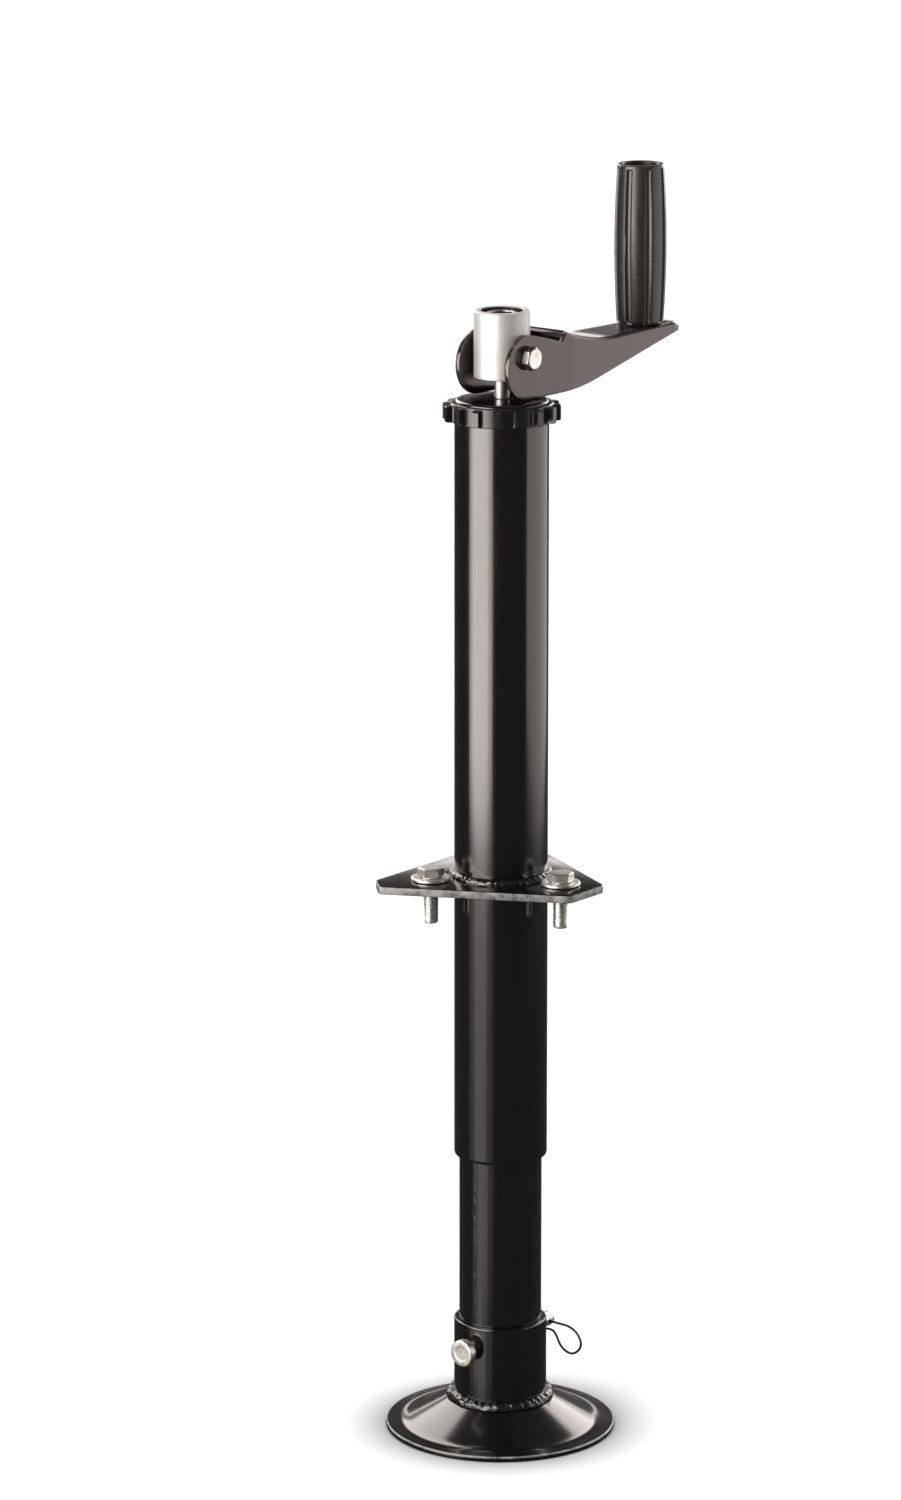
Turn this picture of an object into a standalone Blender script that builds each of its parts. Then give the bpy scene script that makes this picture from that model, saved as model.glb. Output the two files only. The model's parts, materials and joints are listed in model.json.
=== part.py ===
"""Top-wind trailer tongue jack with a bolt-on triangular flange, a fold-over crank and a pinned foot.

Metres, +Z up. The origin is the middle of the foot's base, on the axis of the tubes. +X points forward along the
trailer's tongue, and the crank arm lies along +Y at rest.
"""

import math

import bmesh
import bpy
from mathutils import Matrix, Vector

MM = 0.001
GAP = 0.3 * MM  # clearance between pieces that touch or bear on each other

# Heights of the main stations above the ground
FOOT_PIN_Z = 55.5 * MM
SLEEVE_TOP = 70 * MM
OUTER_BOTTOM = 175 * MM
FLANGE_TOP = 353 * MM
OUTER_TOP = 644 * MM
HUB_BOTTOM = 660.5 * MM
PIVOT_Z = 674 * MM
HUB_TOP = 701.5 * MM
INNER_BOTTOM = 6 * MM
INNER_TOP = 480 * MM
SCREW_BOTTOM = 200 * MM

# Tubes
OUTER_R = 57.15 / 2 * MM
OUTER_BORE_R = 25.875 * MM
INNER_R = 50.8 / 2 * MM
INNER_BORE_R = 22.4 * MM
SLEEVE_R = 28.6 * MM
SLEEVE_BORE_R = INNER_R + GAP
SLEEVE_FLOOR = 4 * MM

# Foot
FOOT_R = 71 * MM
FOOT_RIM_IN_R = 60 * MM
FOOT_CROWN_Z = 19.8 * MM
FOOT_T = 3.4 * MM
PIN_R = 4.76 * MM
PIN_HEAD_R = 8.25 * MM
PIN_HEAD_FACE = -39.2 * MM
PIN_HEAD_T = 4.8 * MM
PIN_TAIL = 51 * MM
CLIP_Y = 44 * MM
CLIP_WIRE_R = 0.75 * MM

# Flange and its three bolts, on one circle
FLANGE_T = 5 * MM
FLANGE_FRONT_X = 66.5 * MM
FLANGE_REAR_X = -50 * MM
FLANGE_NOSE_HALF = 17 * MM
FLANGE_HALF = 72 * MM
FLANGE_CORNER = 12 * MM
BOLT_CIRCLE_R = 46 * MM
BOLT_R = 4.76 * MM
BOLT_HEAD_AF = 14.3 * MM
BOLT_HEAD_T = 5.6 * MM
BOLT_BELOW = 22 * MM
WASHER_R = 12 * MM
WASHER_T = 2 * MM
WELD_LEG = 3.2 * MM

# Head of the outer tube
COLLAR_R = 31.4 * MM
COLLAR_H = 12 * MM
COLLAR_TOP = OUTER_TOP + 2 * MM
RIBS = 16
RIB_OUT_R = 36 * MM
RIB_W = 5 * MM
TOP_PLATE_R = 28.2 * MM
TOP_PLATE_RISE = 3.4 * MM
TOP_PLATE_SPIGOT = 8 * MM
BUSH_R = 8 * MM

# Screw and thrust bearing
SCREW_R = 8 * MM
JOURNAL_R = 6 * MM
STUB_R = 4.5 * MM
STUB_TOP = PIVOT_Z - 6 * MM
RACE_R = 17 * MM
RACE_T = 2.7 * MM
BALL_R = 2.6 * MM
BALLS = 8
BALL_CIRCLE_R = 12 * MM
THRUST_COLLAR_R = 11 * MM
THRUST_COLLAR_T = 12 * MM

# Hub, arm and grip
HUB_R = 17 * MM
HUB_RECESS_R = 13 * MM
HUB_RECESS_FLOOR = PIVOT_Z + 14 * MM
INSERT_R = 9.3 * MM
INSERT_BORE_R = 6.7 * MM
PIVOT_R = 4 * MM
PIVOT_HEAD_AF = 12.7 * MM
ARM_HALF = 20 * MM
ARM_TIP_HALF = 13 * MM
ARM_T = 2.6 * MM
ARM_TIP = 170 * MM
ARM_TAPER_START = 45 * MM
ARM_TAPER_END = ARM_TIP - 15 * MM
ARM_BELLY_START = 33 * MM
ARM_BELLY_BEND = 40 * MM
ARM_BELLY_SLOPE = 0.194
ARM_BELLY_TIP = -5 * MM
ARM_EAR_R = 19.6 * MM
ARM_EAR_DROP = 5.8 * MM
ARM_NOTCH = 37 * MM
ARM_DECK = 1.5 * MM
ARM_DECK_HIGH = 12 * MM
ARM_DECK_LEVEL = 92 * MM
ARM_TIP_DROP = 2.2 * MM
ARM_TIP_DROP_START = ARM_TIP - 14 * MM
GRIP_REACH = 138 * MM
GRIP_LENGTH = 99 * MM
GRIP_END_R = 14.4 * MM
GRIP_MID_R = 16.1 * MM
GRIP_BORE_R = 6.4 * MM
GRIP_MOUTH_R = 10.8 * MM
GRIP_MOUTH_DEPTH = 21 * MM
FLUTES = 8
FLUTE_R = 1.5 * MM
FLUTE_OUT = 0.4 * MM
FLUTE_PHASE = 0.19
SPINDLE_R = 6 * MM

ROUND = 32
FINE = 48


def clear_scene():
    for obj in list(bpy.data.objects):
        bpy.data.objects.remove(obj, do_unlink=True)


def new_collection(name):
    collection = bpy.data.collections.new(name)
    bpy.context.scene.collection.children.link(collection)
    return collection


def new_material(name, colour, roughness, metallic):
    material = bpy.data.materials.new(name)
    material.use_nodes = True
    shader = material.node_tree.nodes["Principled BSDF"]
    shader.inputs["Base Color"].default_value = (*colour, 1.0)
    shader.inputs["Roughness"].default_value = roughness
    shader.inputs["Metallic"].default_value = metallic
    return material


clear_scene()
JACK = new_collection("trailer_tongue_jack")
CUTTERS = new_collection("cutters")

PAINT = new_material("black_paint", (0.014, 0.013, 0.012), 0.28, 0.0)
PLASTIC = new_material("black_plastic", (0.018, 0.017, 0.016), 0.42, 0.0)
ZINC = new_material("zinc", (0.62, 0.62, 0.58), 0.3, 1.0)
CAST = new_material("cast_hub", (0.66, 0.66, 0.63), 0.42, 1.0)
STEEL = new_material("bare_steel", (0.45, 0.45, 0.44), 0.35, 1.0)
BRONZE = new_material("bronze", (0.55, 0.36, 0.16), 0.35, 1.0)
WIRE = new_material("dark_wire", (0.03, 0.03, 0.03), 0.35, 1.0)


def empty_at(name, location):
    empty = bpy.data.objects.new(name, None)
    empty.location = location
    JACK.objects.link(empty)
    return empty


JACK_AXIS = empty_at("jack_axis", (0, 0, 0))
PIVOT_AXIS = empty_at("pivot_axis", (0, 0, PIVOT_Z))
GRIP_AXIS = empty_at("grip_axis", (0, GRIP_REACH, PIVOT_Z))
PIN_AXIS = empty_at("pin_axis", (0, 0, FOOT_PIN_Z))


def place(obj, material=None, parent=JACK_AXIS, location=(0, 0, 0), rotation=(0, 0, 0)):
    """Puts a new object in the jack with a material, or among the cutters without one."""
    obj.parent = parent
    obj.location = location
    obj.rotation_euler = rotation
    if material is None:
        CUTTERS.objects.link(obj)
        obj.hide_render = True
        obj.display_type = "WIRE"
    else:
        JACK.objects.link(obj)
        obj.data.materials.append(material)
    return obj


def smooth_by_angle(mesh, degrees=35):
    mesh.shade_smooth()
    mesh.set_sharp_from_angle(angle=math.radians(degrees))


def baked(source, name):
    """A mesh object from a curve or from an object with modifiers, which is then removed."""
    bpy.context.scene.collection.objects.link(source)
    bpy.context.view_layer.update()
    graph = bpy.context.evaluated_depsgraph_get()
    mesh = bpy.data.meshes.new_from_object(source.evaluated_get(graph))
    bm = bmesh.new()
    bm.from_mesh(mesh)
    bmesh.ops.remove_doubles(bm, verts=bm.verts, dist=1e-6)
    bmesh.ops.recalc_face_normals(bm, faces=bm.faces)
    bm.to_mesh(mesh)
    bm.free()
    smooth_by_angle(mesh)
    bpy.data.objects.remove(source, do_unlink=True)
    return bpy.data.objects.new(name, mesh)


def turned(name, profile, steps=ROUND):
    """Revolves (radius, z) points about Z. The profile closes on itself unless it starts and ends on the axis."""
    count = len(profile)
    edges = [(i, i + 1) for i in range(count - 1)]
    if profile[0][0] > 0:
        edges.append((count - 1, 0))
    mesh = bpy.data.meshes.new(name)
    mesh.from_pydata([(r, 0, z) for r, z in profile], edges, [])
    source = bpy.data.objects.new(name + "_profile", mesh)
    screw = source.modifiers.new("Screw", "SCREW")
    screw.steps = screw.render_steps = steps
    screw.use_merge_vertices = True
    screw.merge_threshold = 1e-5
    return baked(source, name)


def ring(outer, inner, bottom, top):
    return [(outer, top), (outer, bottom), (inner, bottom), (inner, top)]


def rod(radius, bottom, top, chamfer=0.0):
    if not chamfer:
        return [(0, top), (radius, top), (radius, bottom), (0, bottom)]
    edge = radius - chamfer
    return [
        (0, top),
        (edge, top),
        (radius, top - chamfer),
        (radius, bottom + chamfer),
        (edge, bottom),
        (0, bottom),
    ]


def plate(name, outline, thickness):
    """A flat outline in XY, filled and thickened evenly about z = 0."""
    curve = bpy.data.curves.new(name, "CURVE")
    curve.dimensions = "2D"
    curve.fill_mode = "BOTH"
    curve.extrude = thickness / 2
    spline = curve.splines.new("POLY")
    spline.points.add(len(outline) - 1)
    for point, (x, y) in zip(spline.points, outline):
        point.co = (x, y, 0, 1)
    spline.use_cyclic_u = True
    return baked(bpy.data.objects.new(name + "_outline", curve), name)


def wire(name, points, radius, resolution=2, cyclic=False):
    """A round wire along the points, with filled ends."""
    curve = bpy.data.curves.new(name, "CURVE")
    curve.dimensions = "3D"
    curve.bevel_depth = radius
    curve.bevel_resolution = resolution
    curve.use_fill_caps = True
    spline = curve.splines.new("POLY")
    spline.points.add(len(points) - 1)
    for point, position in zip(spline.points, points):
        point.co = (*position, 1)
    spline.use_cyclic_u = cyclic
    return baked(bpy.data.objects.new(name + "_path", curve), name)


def hex_prism(name, across_flats, bottom, top):
    mesh = bpy.data.meshes.new(name)
    bm = bmesh.new()
    radius = across_flats / 2 / math.cos(math.pi / 6)
    bmesh.ops.create_cone(
        bm, cap_ends=True, segments=6, radius1=radius, radius2=radius, depth=top - bottom
    )
    bmesh.ops.translate(bm, verts=bm.verts, vec=(0, 0, (top + bottom) / 2))
    bm.to_mesh(mesh)
    bm.free()
    return bpy.data.objects.new(name, mesh)


def block(name, size, centre=(0, 0, 0)):
    mesh = bpy.data.meshes.new(name)
    bm = bmesh.new()
    bmesh.ops.create_cube(bm, size=1)
    bmesh.ops.transform(bm, verts=bm.verts, matrix=Matrix.Diagonal((*size, 1)))
    bmesh.ops.translate(bm, verts=bm.verts, vec=centre)
    bm.to_mesh(mesh)
    bm.free()
    return bpy.data.objects.new(name, mesh)


def combine(obj, other, operation):
    modifier = obj.modifiers.new(operation.title(), "BOOLEAN")
    modifier.operation = operation
    modifier.solver = "EXACT"
    modifier.object = other


def drill(obj, radius, half_length, parent, location=(0, 0, 0), rotation=(0, 0, 0)):
    """Cuts a round hole along the local Z of the given place."""
    name = f"{obj.name}_hole_{len(obj.modifiers)}"
    tool = turned(name, rod(radius, -half_length, half_length), 32)
    place(tool, None, parent, location, rotation)
    combine(obj, tool, "DIFFERENCE")


ALONG_X = (0, math.radians(90), 0)
ALONG_Y = (math.radians(-90), 0, 0)


def bevelled(obj, width, segments=2, degrees=40):
    modifier = obj.modifiers.new("Bevel", "BEVEL")
    modifier.width = width
    modifier.segments = segments
    modifier.limit_method = "ANGLE"
    modifier.angle_limit = math.radians(degrees)


# Outer tube, with its lower end rolled in round the inner tube


def make_outer_tube():
    nose_r = OUTER_R - OUTER_BORE_R
    nose = [
        (
            OUTER_BORE_R + nose_r * math.cos(turn),
            OUTER_BOTTOM + nose_r - nose_r * math.sin(turn),
        )
        for turn in (math.radians(step * 90 / 5) for step in range(6))
    ]
    profile = [(OUTER_R, OUTER_TOP), *nose, (OUTER_BORE_R, OUTER_TOP)]
    place(turned("outer_tube", profile, FINE), PAINT)


# Triangular flange, welded to the outer tube, and its bolts


def flange_outline():
    slope = (FLANGE_HALF - FLANGE_NOSE_HALF) / (FLANGE_FRONT_X - FLANGE_REAR_X - FLANGE_CORNER)
    nose_cut = 3 * MM
    half = [
        (FLANGE_FRONT_X, FLANGE_NOSE_HALF - nose_cut),
        (FLANGE_FRONT_X - nose_cut, FLANGE_NOSE_HALF + nose_cut * slope),
        (FLANGE_REAR_X + FLANGE_CORNER + nose_cut, FLANGE_HALF - nose_cut * slope),
        (FLANGE_REAR_X + FLANGE_CORNER - nose_cut, FLANGE_HALF - nose_cut),
        (FLANGE_REAR_X + nose_cut, FLANGE_HALF - FLANGE_CORNER + nose_cut),
        (FLANGE_REAR_X, FLANGE_HALF - FLANGE_CORNER - nose_cut),
    ]
    return half + [(x, -y) for x, y in reversed(half)]


def bolt_places():
    """Name and angle about the jack's axis of each flange bolt."""
    return (("front", 0), ("left", 120), ("right", 240))


def at_bolt(degrees, z):
    turn = math.radians(degrees)
    return (BOLT_CIRCLE_R * math.cos(turn), BOLT_CIRCLE_R * math.sin(turn), z)


def make_flange():
    middle = FLANGE_TOP - FLANGE_T / 2
    flange = place(plate("mounting_plate", flange_outline(), FLANGE_T), PAINT, location=(0, 0, middle))
    bevelled(flange, 0.6 * MM)
    drill(flange, OUTER_R + GAP, FLANGE_T, JACK_AXIS, (0, 0, middle))
    for _, degrees in bolt_places():
        drill(flange, BOLT_R + 0.4 * MM, FLANGE_T, JACK_AXIS, at_bolt(degrees, middle))


def make_flange_weld():
    foot = FLANGE_TOP + GAP
    inside = OUTER_R + GAP
    profile = [
        (inside, foot + WELD_LEG),
        (inside + WELD_LEG * 0.55, foot + WELD_LEG * 0.6),
        (inside + WELD_LEG, foot),
        (inside, foot),
    ]
    place(turned("plate_weld", profile, FINE), PAINT)


def make_flange_bolts():
    seat = FLANGE_TOP + GAP + WASHER_T + GAP
    for name, degrees in bolt_places():
        washer = turned("bolt_washer_" + name, ring(WASHER_R, BOLT_R + GAP, 0, WASHER_T), 32)
        place(washer, ZINC, location=at_bolt(degrees, FLANGE_TOP + GAP))
        bolt = turned(
            "flange_bolt_" + name,
            rod(BOLT_R, -(FLANGE_T + WASHER_T + BOLT_BELOW), BOLT_HEAD_T / 2, 0.8 * MM),
            24,
        )
        place(bolt, ZINC, location=at_bolt(degrees, seat))
        head = hex_prism("bolt_head_" + name, BOLT_HEAD_AF, 0, BOLT_HEAD_T)
        turn = (0, 0, math.radians(degrees + 12))
        place(head, None, location=at_bolt(degrees, seat), rotation=turn)
        combine(bolt, head, "UNION")


# Ribbed collar and top plate at the head of the outer tube


def make_collar():
    bottom = COLLAR_TOP - COLLAR_H
    edge = 1.2 * MM
    profile = [
        (COLLAR_R - edge, COLLAR_TOP),
        (COLLAR_R, COLLAR_TOP - edge),
        (COLLAR_R, bottom),
        (OUTER_R + GAP, bottom),
        (OUTER_R + GAP, COLLAR_TOP),
    ]
    collar = place(turned("ribbed_collar", profile, FINE), PLASTIC)
    inside = (OUTER_R + COLLAR_R) / 2
    for index in range(RIBS):
        turn = 2 * math.pi * (index + 0.5) / RIBS
        rib = block(
            f"collar_rib_{index}",
            (RIB_OUT_R - inside, RIB_W, COLLAR_H - 0.6 * MM),
            ((RIB_OUT_R + inside) / 2, 0, 0),
        )
        bevel = rib.modifiers.new("Bevel", "BEVEL")
        bevel.width = 0.6 * MM
        bevel.segments = 1
        place(rib, None, location=(0, 0, COLLAR_TOP - COLLAR_H / 2), rotation=(0, 0, turn))
        combine(collar, rib, "UNION")


def make_top_plate():
    seat = OUTER_TOP + GAP
    edge = 1.6 * MM
    crown = OUTER_TOP + TOP_PLATE_RISE
    hole = BUSH_R + GAP
    profile = [
        (hole, crown + 0.6 * MM),
        (TOP_PLATE_R - 6 * MM, crown + 0.3 * MM),
        (TOP_PLATE_R - edge, crown - 0.1 * MM),
        (TOP_PLATE_R - 0.3 * edge, crown - 0.6 * edge),
        (TOP_PLATE_R, crown - edge - 0.2 * MM),
        (TOP_PLATE_R, seat),
        (OUTER_BORE_R - GAP, seat),
        (OUTER_BORE_R - GAP, OUTER_TOP - TOP_PLATE_SPIGOT),
        (hole, OUTER_TOP - TOP_PLATE_SPIGOT),
    ]
    place(turned("top_plate", profile, FINE), PAINT)


def make_shaft_bush():
    top = OUTER_TOP + TOP_PLATE_RISE + 0.5 * MM
    profile = ring(BUSH_R, STUB_R + GAP, OUTER_TOP - TOP_PLATE_SPIGOT + 0.5 * MM, top)
    place(turned("shaft_bush", profile, 32), BRONZE)


# Thrust bearing under the top plate


def make_bearing():
    upper = OUTER_TOP - TOP_PLATE_SPIGOT - GAP
    balls_top = upper - RACE_T - GAP
    middle = balls_top - BALL_R
    lower = middle - BALL_R - GAP
    hole = JOURNAL_R + GAP
    place(turned("race_upper", ring(RACE_R, hole, upper - RACE_T, upper), ROUND), STEEL)
    place(turned("race_lower", ring(RACE_R, hole, lower - RACE_T, lower), ROUND), STEEL)
    cage_half = 0.9 * MM
    cage = ring(
        BALL_CIRCLE_R + BALL_R + MM, BALL_CIRCLE_R - BALL_R - MM, middle - cage_half, middle + cage_half
    )
    balls = place(turned("bearing_balls", cage, 24), STEEL)
    for index in range(BALLS):
        turn = 2 * math.pi * index / BALLS
        mesh = bpy.data.meshes.new("ball")
        bm = bmesh.new()
        bmesh.ops.create_uvsphere(bm, u_segments=8, v_segments=6, radius=BALL_R)
        bm.to_mesh(mesh)
        bm.free()
        ball = bpy.data.objects.new(f"ball_{index}", mesh)
        spot = (BALL_CIRCLE_R * math.cos(turn), BALL_CIRCLE_R * math.sin(turn), middle)
        place(ball, None, location=spot)
        combine(balls, ball, "UNION")
    return lower - RACE_T - GAP


# Lead screw, its thrust collar and the hub on its stub


def make_screw(collar_top):
    step = OUTER_TOP - TOP_PLATE_SPIGOT - 2 * MM
    collar_bottom = collar_top - THRUST_COLLAR_T
    profile = [
        (0, STUB_TOP),
        (STUB_R - 0.5 * MM, STUB_TOP),
        (STUB_R, STUB_TOP - 0.5 * MM),
        (STUB_R, step),
        (JOURNAL_R, step),
        (JOURNAL_R, collar_bottom - GAP),
        (SCREW_R, collar_bottom - GAP),
        (SCREW_R, SCREW_BOTTOM + 1.5 * MM),
        (SCREW_R - 1.5 * MM, SCREW_BOTTOM),
        (0, SCREW_BOTTOM),
    ]
    screw = place(turned("lead_screw", profile, 32), STEEL)
    collar = turned("thrust_collar", ring(THRUST_COLLAR_R, JOURNAL_R + GAP, collar_bottom, collar_top), 32)
    place(collar, STEEL)
    pin_z = (collar_top + collar_bottom) / 2
    pin_r = 2 * MM
    pin = turned("collar_pin", rod(pin_r, -THRUST_COLLAR_R, THRUST_COLLAR_R, 0.4 * MM), 16)
    place(pin, STEEL, location=(0, 0, pin_z), rotation=ALONG_Y)
    for piece in (screw, collar):
        drill(piece, pin_r + GAP, 2 * THRUST_COLLAR_R, JACK_AXIS, (0, 0, pin_z), ALONG_Y)
    return screw


def make_hub(screw):
    edge = 0.8 * MM
    profile = [
        (HUB_RECESS_R, HUB_TOP),
        (HUB_R - edge, HUB_TOP),
        (HUB_R, HUB_TOP - edge),
        (HUB_R, HUB_BOTTOM + edge),
        (HUB_R - edge, HUB_BOTTOM),
        (STUB_R + GAP, HUB_BOTTOM),
        (STUB_R + GAP, STUB_TOP + GAP),
        (0, STUB_TOP + GAP),
    ]
    inside = [(0, HUB_RECESS_FLOOR), (HUB_RECESS_R, HUB_RECESS_FLOOR)]
    hub = place(turned("hub", inside + profile, FINE), CAST)
    drill(hub, PIVOT_R + GAP, 2 * HUB_R, PIVOT_AXIS, rotation=ALONG_X)
    pin_r = 1.6 * MM
    pin_z = (HUB_BOTTOM + STUB_TOP) / 2 - 0.5 * MM
    pin = turned("hub_pin", rod(pin_r, -HUB_R + MM, HUB_R - MM, 0.3 * MM), 16)
    place(pin, STEEL, location=(0, 0, pin_z), rotation=ALONG_X)
    for piece in (hub, screw):
        drill(piece, pin_r + GAP, 2 * HUB_R, JACK_AXIS, (0, 0, pin_z), ALONG_X)
    seat = HUB_RECESS_FLOOR + GAP
    flange_top = seat + 3 * MM
    insert = [
        (INSERT_R, HUB_TOP - 1.4 * MM),
        (INSERT_R, flange_top),
        (HUB_RECESS_R - GAP, flange_top),
        (HUB_RECESS_R - GAP, seat),
        (INSERT_BORE_R, seat),
        (INSERT_BORE_R, HUB_TOP - 1.4 * MM),
    ]
    place(turned("hub_insert", insert, ROUND), ZINC)


# Crank arm: a pressed channel, open below, with two ears that straddle the hub


def share_of(value, start, end):
    """0 before start, 1 after end, and a straight line between them."""
    return min(max((value - start) / (end - start), 0), 1)


def deck_height(reach):
    """Height of the arm's top over the pivot: it curves down from the notch to a level deck with a rolled tip."""
    left = 1 - share_of(reach, ARM_NOTCH, ARM_DECK_LEVEL)
    drop = ARM_TIP_DROP * share_of(reach, ARM_TIP_DROP_START, ARM_TIP) ** 2
    return ARM_DECK + (ARM_DECK_HIGH - ARM_DECK) * left**2 - drop


def belly_height(reach):
    """Height of the arm's lower edge: level under the ears, then a bend up into a straight line to the tip."""
    along = max(reach - ARM_BELLY_START, 0)
    bent = min(along, ARM_BELLY_BEND)
    rise = ARM_BELLY_SLOPE * (bent**2 / (2 * ARM_BELLY_BEND) + along - bent)
    return min(-ARM_EAR_R - ARM_EAR_DROP + rise, ARM_BELLY_TIP)


def arm_side_outline():
    top_reaches = [ARM_NOTCH + (ARM_TIP - ARM_NOTCH) * i / 14 for i in range(15)]
    belly_reaches = [ARM_BELLY_START + (ARM_TIP - ARM_BELLY_START) * i / 10 for i in range(11)]
    ear = [
        (ARM_EAR_R * math.cos(turn), -ARM_EAR_DROP + ARM_EAR_R * math.sin(turn))
        for turn in (math.radians(90 + 180 * i / 16) for i in range(17))
    ]
    belly = [(reach, belly_height(reach)) for reach in belly_reaches]
    deck = [(reach, deck_height(reach)) for reach in reversed(top_reaches)]
    notch = [(ARM_NOTCH - 3.5 * MM, 5.6 * MM)]
    return ear + belly + deck + notch


def arm_inner_outline():
    reaches = [ARM_NOTCH - MM + (ARM_TIP + MM - ARM_NOTCH) * i / 14 for i in range(15)]
    under = [(reach, deck_height(reach) - ARM_T) for reach in reversed(reaches)]
    high, low, back = 40 * MM, -60 * MM, -40 * MM
    return [(back, low), (reaches[-1], low), *under, (reaches[0], high), (back, high)]


def arm_plan_outline(inset, tip):
    """Parallel sides at the ears, a taper to the grip and a rounded tip."""
    nose = [
        (
            (ARM_TIP_HALF - inset) * math.cos(turn),
            ARM_TAPER_END + (tip - ARM_TAPER_END) * math.sin(turn),
        )
        for turn in (math.radians(180 * i / 14) for i in range(15))
    ]
    half, back = ARM_HALF - inset, -40 * MM
    return [(half, back), (half, ARM_TAPER_START), *nose, (-half, ARM_TAPER_START), (-half, back)]


def make_arm():
    width = 3 * ARM_HALF
    side_turn = (math.radians(90), 0, math.radians(90))
    arm = place(plate("crank_arm", arm_side_outline(), width), PAINT, PIVOT_AXIS, rotation=side_turn)
    plan = place(plate("arm_plan", arm_plan_outline(0, ARM_TIP), 6 * ARM_HALF), None, PIVOT_AXIS)
    combine(arm, plan, "INTERSECT")
    inner_plan = arm_plan_outline(ARM_T, ARM_TIP - ARM_T)
    inner = place(plate("arm_inner", inner_plan, 6 * ARM_HALF), None, PIVOT_AXIS)
    inner_side = place(
        plate("arm_inner_side", arm_inner_outline(), width), None, PIVOT_AXIS, rotation=side_turn
    )
    combine(inner, inner_side, "INTERSECT")
    combine(arm, inner, "DIFFERENCE")
    drill(arm, PIVOT_R + GAP, width, PIVOT_AXIS, rotation=ALONG_X)
    drill(arm, SPINDLE_R - MM + GAP, 10 * MM, GRIP_AXIS)


def make_pivot_bolt():
    seat = ARM_HALF + GAP
    head_t = 5.3 * MM
    bolt = turned("pivot_bolt", rod(PIVOT_R, -ARM_HALF - 10 * MM, seat + head_t / 2, 0.5 * MM), 24)
    place(bolt, ZINC, PIVOT_AXIS, rotation=ALONG_X)
    head = hex_prism("pivot_head", PIVOT_HEAD_AF, seat, seat + head_t)
    place(head, None, PIVOT_AXIS, rotation=ALONG_X)
    combine(bolt, head, "UNION")
    washer_t = 1.6 * MM
    washer_at = -ARM_HALF - GAP - washer_t
    washer = turned("pivot_washer", ring(9 * MM, PIVOT_R + GAP, washer_at, washer_at + washer_t), 32)
    place(washer, ZINC, PIVOT_AXIS, rotation=ALONG_X)
    nut_top = washer_at - GAP
    nut = place(
        hex_prism("pivot_nut", PIVOT_HEAD_AF, nut_top - 6.5 * MM, nut_top), ZINC, PIVOT_AXIS, rotation=ALONG_X
    )
    drill(nut, PIVOT_R + GAP, 2 * ARM_HALF, PIVOT_AXIS, rotation=ALONG_X)


# Spindle, riveted to the arm, and the grip that turns on it


def make_spindle():
    rivet_r = 8 * MM
    under = ARM_DECK - ARM_T - GAP
    over = ARM_DECK + GAP
    top = over + GRIP_LENGTH - GRIP_MOUTH_DEPTH + 5 * MM
    profile = [
        (0, top),
        (SPINDLE_R - 0.6 * MM, top),
        (SPINDLE_R, top - 0.6 * MM),
        (SPINDLE_R, over),
        (SPINDLE_R - MM, over),
        (SPINDLE_R - MM, under),
        (rivet_r, under),
        (rivet_r - MM, under - 2 * MM),
        (0, under - 2.4 * MM),
    ]
    place(turned("grip_spindle", profile, 32), STEEL, GRIP_AXIS)
    shelf = over + GAP + GRIP_LENGTH - GRIP_MOUTH_DEPTH + GAP
    retainer = ring(GRIP_MOUTH_R - 1.3 * MM, SPINDLE_R + GAP, shelf, shelf + 1.4 * MM)
    place(turned("grip_retainer", retainer, 32), ZINC, GRIP_AXIS)


def grip_radius(t):
    return GRIP_END_R + (GRIP_MID_R - GRIP_END_R) * (1 - (2 * t - 1) ** 2)


def make_grip():
    bottom = ARM_DECK + 2 * GAP
    sides = 8
    edge = 0.8 * MM
    barrel = [
        (grip_radius(i / sides), bottom + GRIP_LENGTH * i / sides) for i in range(1, sides)
    ]
    profile = [
        (GRIP_END_R - edge, bottom + GRIP_LENGTH),
        (GRIP_END_R, bottom + GRIP_LENGTH - edge),
        *reversed(barrel),
        (GRIP_END_R, bottom + edge),
        (GRIP_END_R - edge, bottom),
        (GRIP_BORE_R, bottom),
        (GRIP_BORE_R, bottom + GRIP_LENGTH - GRIP_MOUTH_DEPTH),
        (GRIP_MOUTH_R, bottom + GRIP_LENGTH - GRIP_MOUTH_DEPTH),
        (GRIP_MOUTH_R, bottom + GRIP_LENGTH),
    ]
    grip = place(turned("grip", profile, ROUND), PLASTIC, GRIP_AXIS)
    path = [
        (grip_radius(i / sides) + FLUTE_OUT, 0, bottom + GRIP_LENGTH * i / sides)
        for i in range(-1, sides + 2)
    ]
    for index in range(FLUTES):
        flute = wire(f"flute_{index}", path, FLUTE_R, 1)
        turn = 2 * math.pi * (index + FLUTE_PHASE) / FLUTES
        place(flute, None, GRIP_AXIS, rotation=(0, 0, turn))
        combine(grip, flute, "DIFFERENCE")


# Inner tube with its drive nut, and the foot pinned to it


def make_inner_tube():
    tube = turned("inner_tube", ring(INNER_R, INNER_BORE_R, INNER_BOTTOM, INNER_TOP), FINE)
    place(tube, PAINT)
    drill(tube, PIN_R + GAP, 2 * INNER_R, PIN_AXIS, rotation=ALONG_Y)


def make_drive_nut():
    flange = INNER_TOP + GAP
    profile = [
        (INNER_R - GAP, flange + 4 * MM),
        (INNER_R - GAP, flange),
        (INNER_BORE_R - GAP, flange),
        (INNER_BORE_R - GAP, INNER_TOP - 20 * MM),
        (SCREW_R + GAP, INNER_TOP - 20 * MM),
        (SCREW_R + GAP, flange + 4 * MM),
    ]
    place(turned("drive_nut", profile, ROUND), BRONZE)


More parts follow.
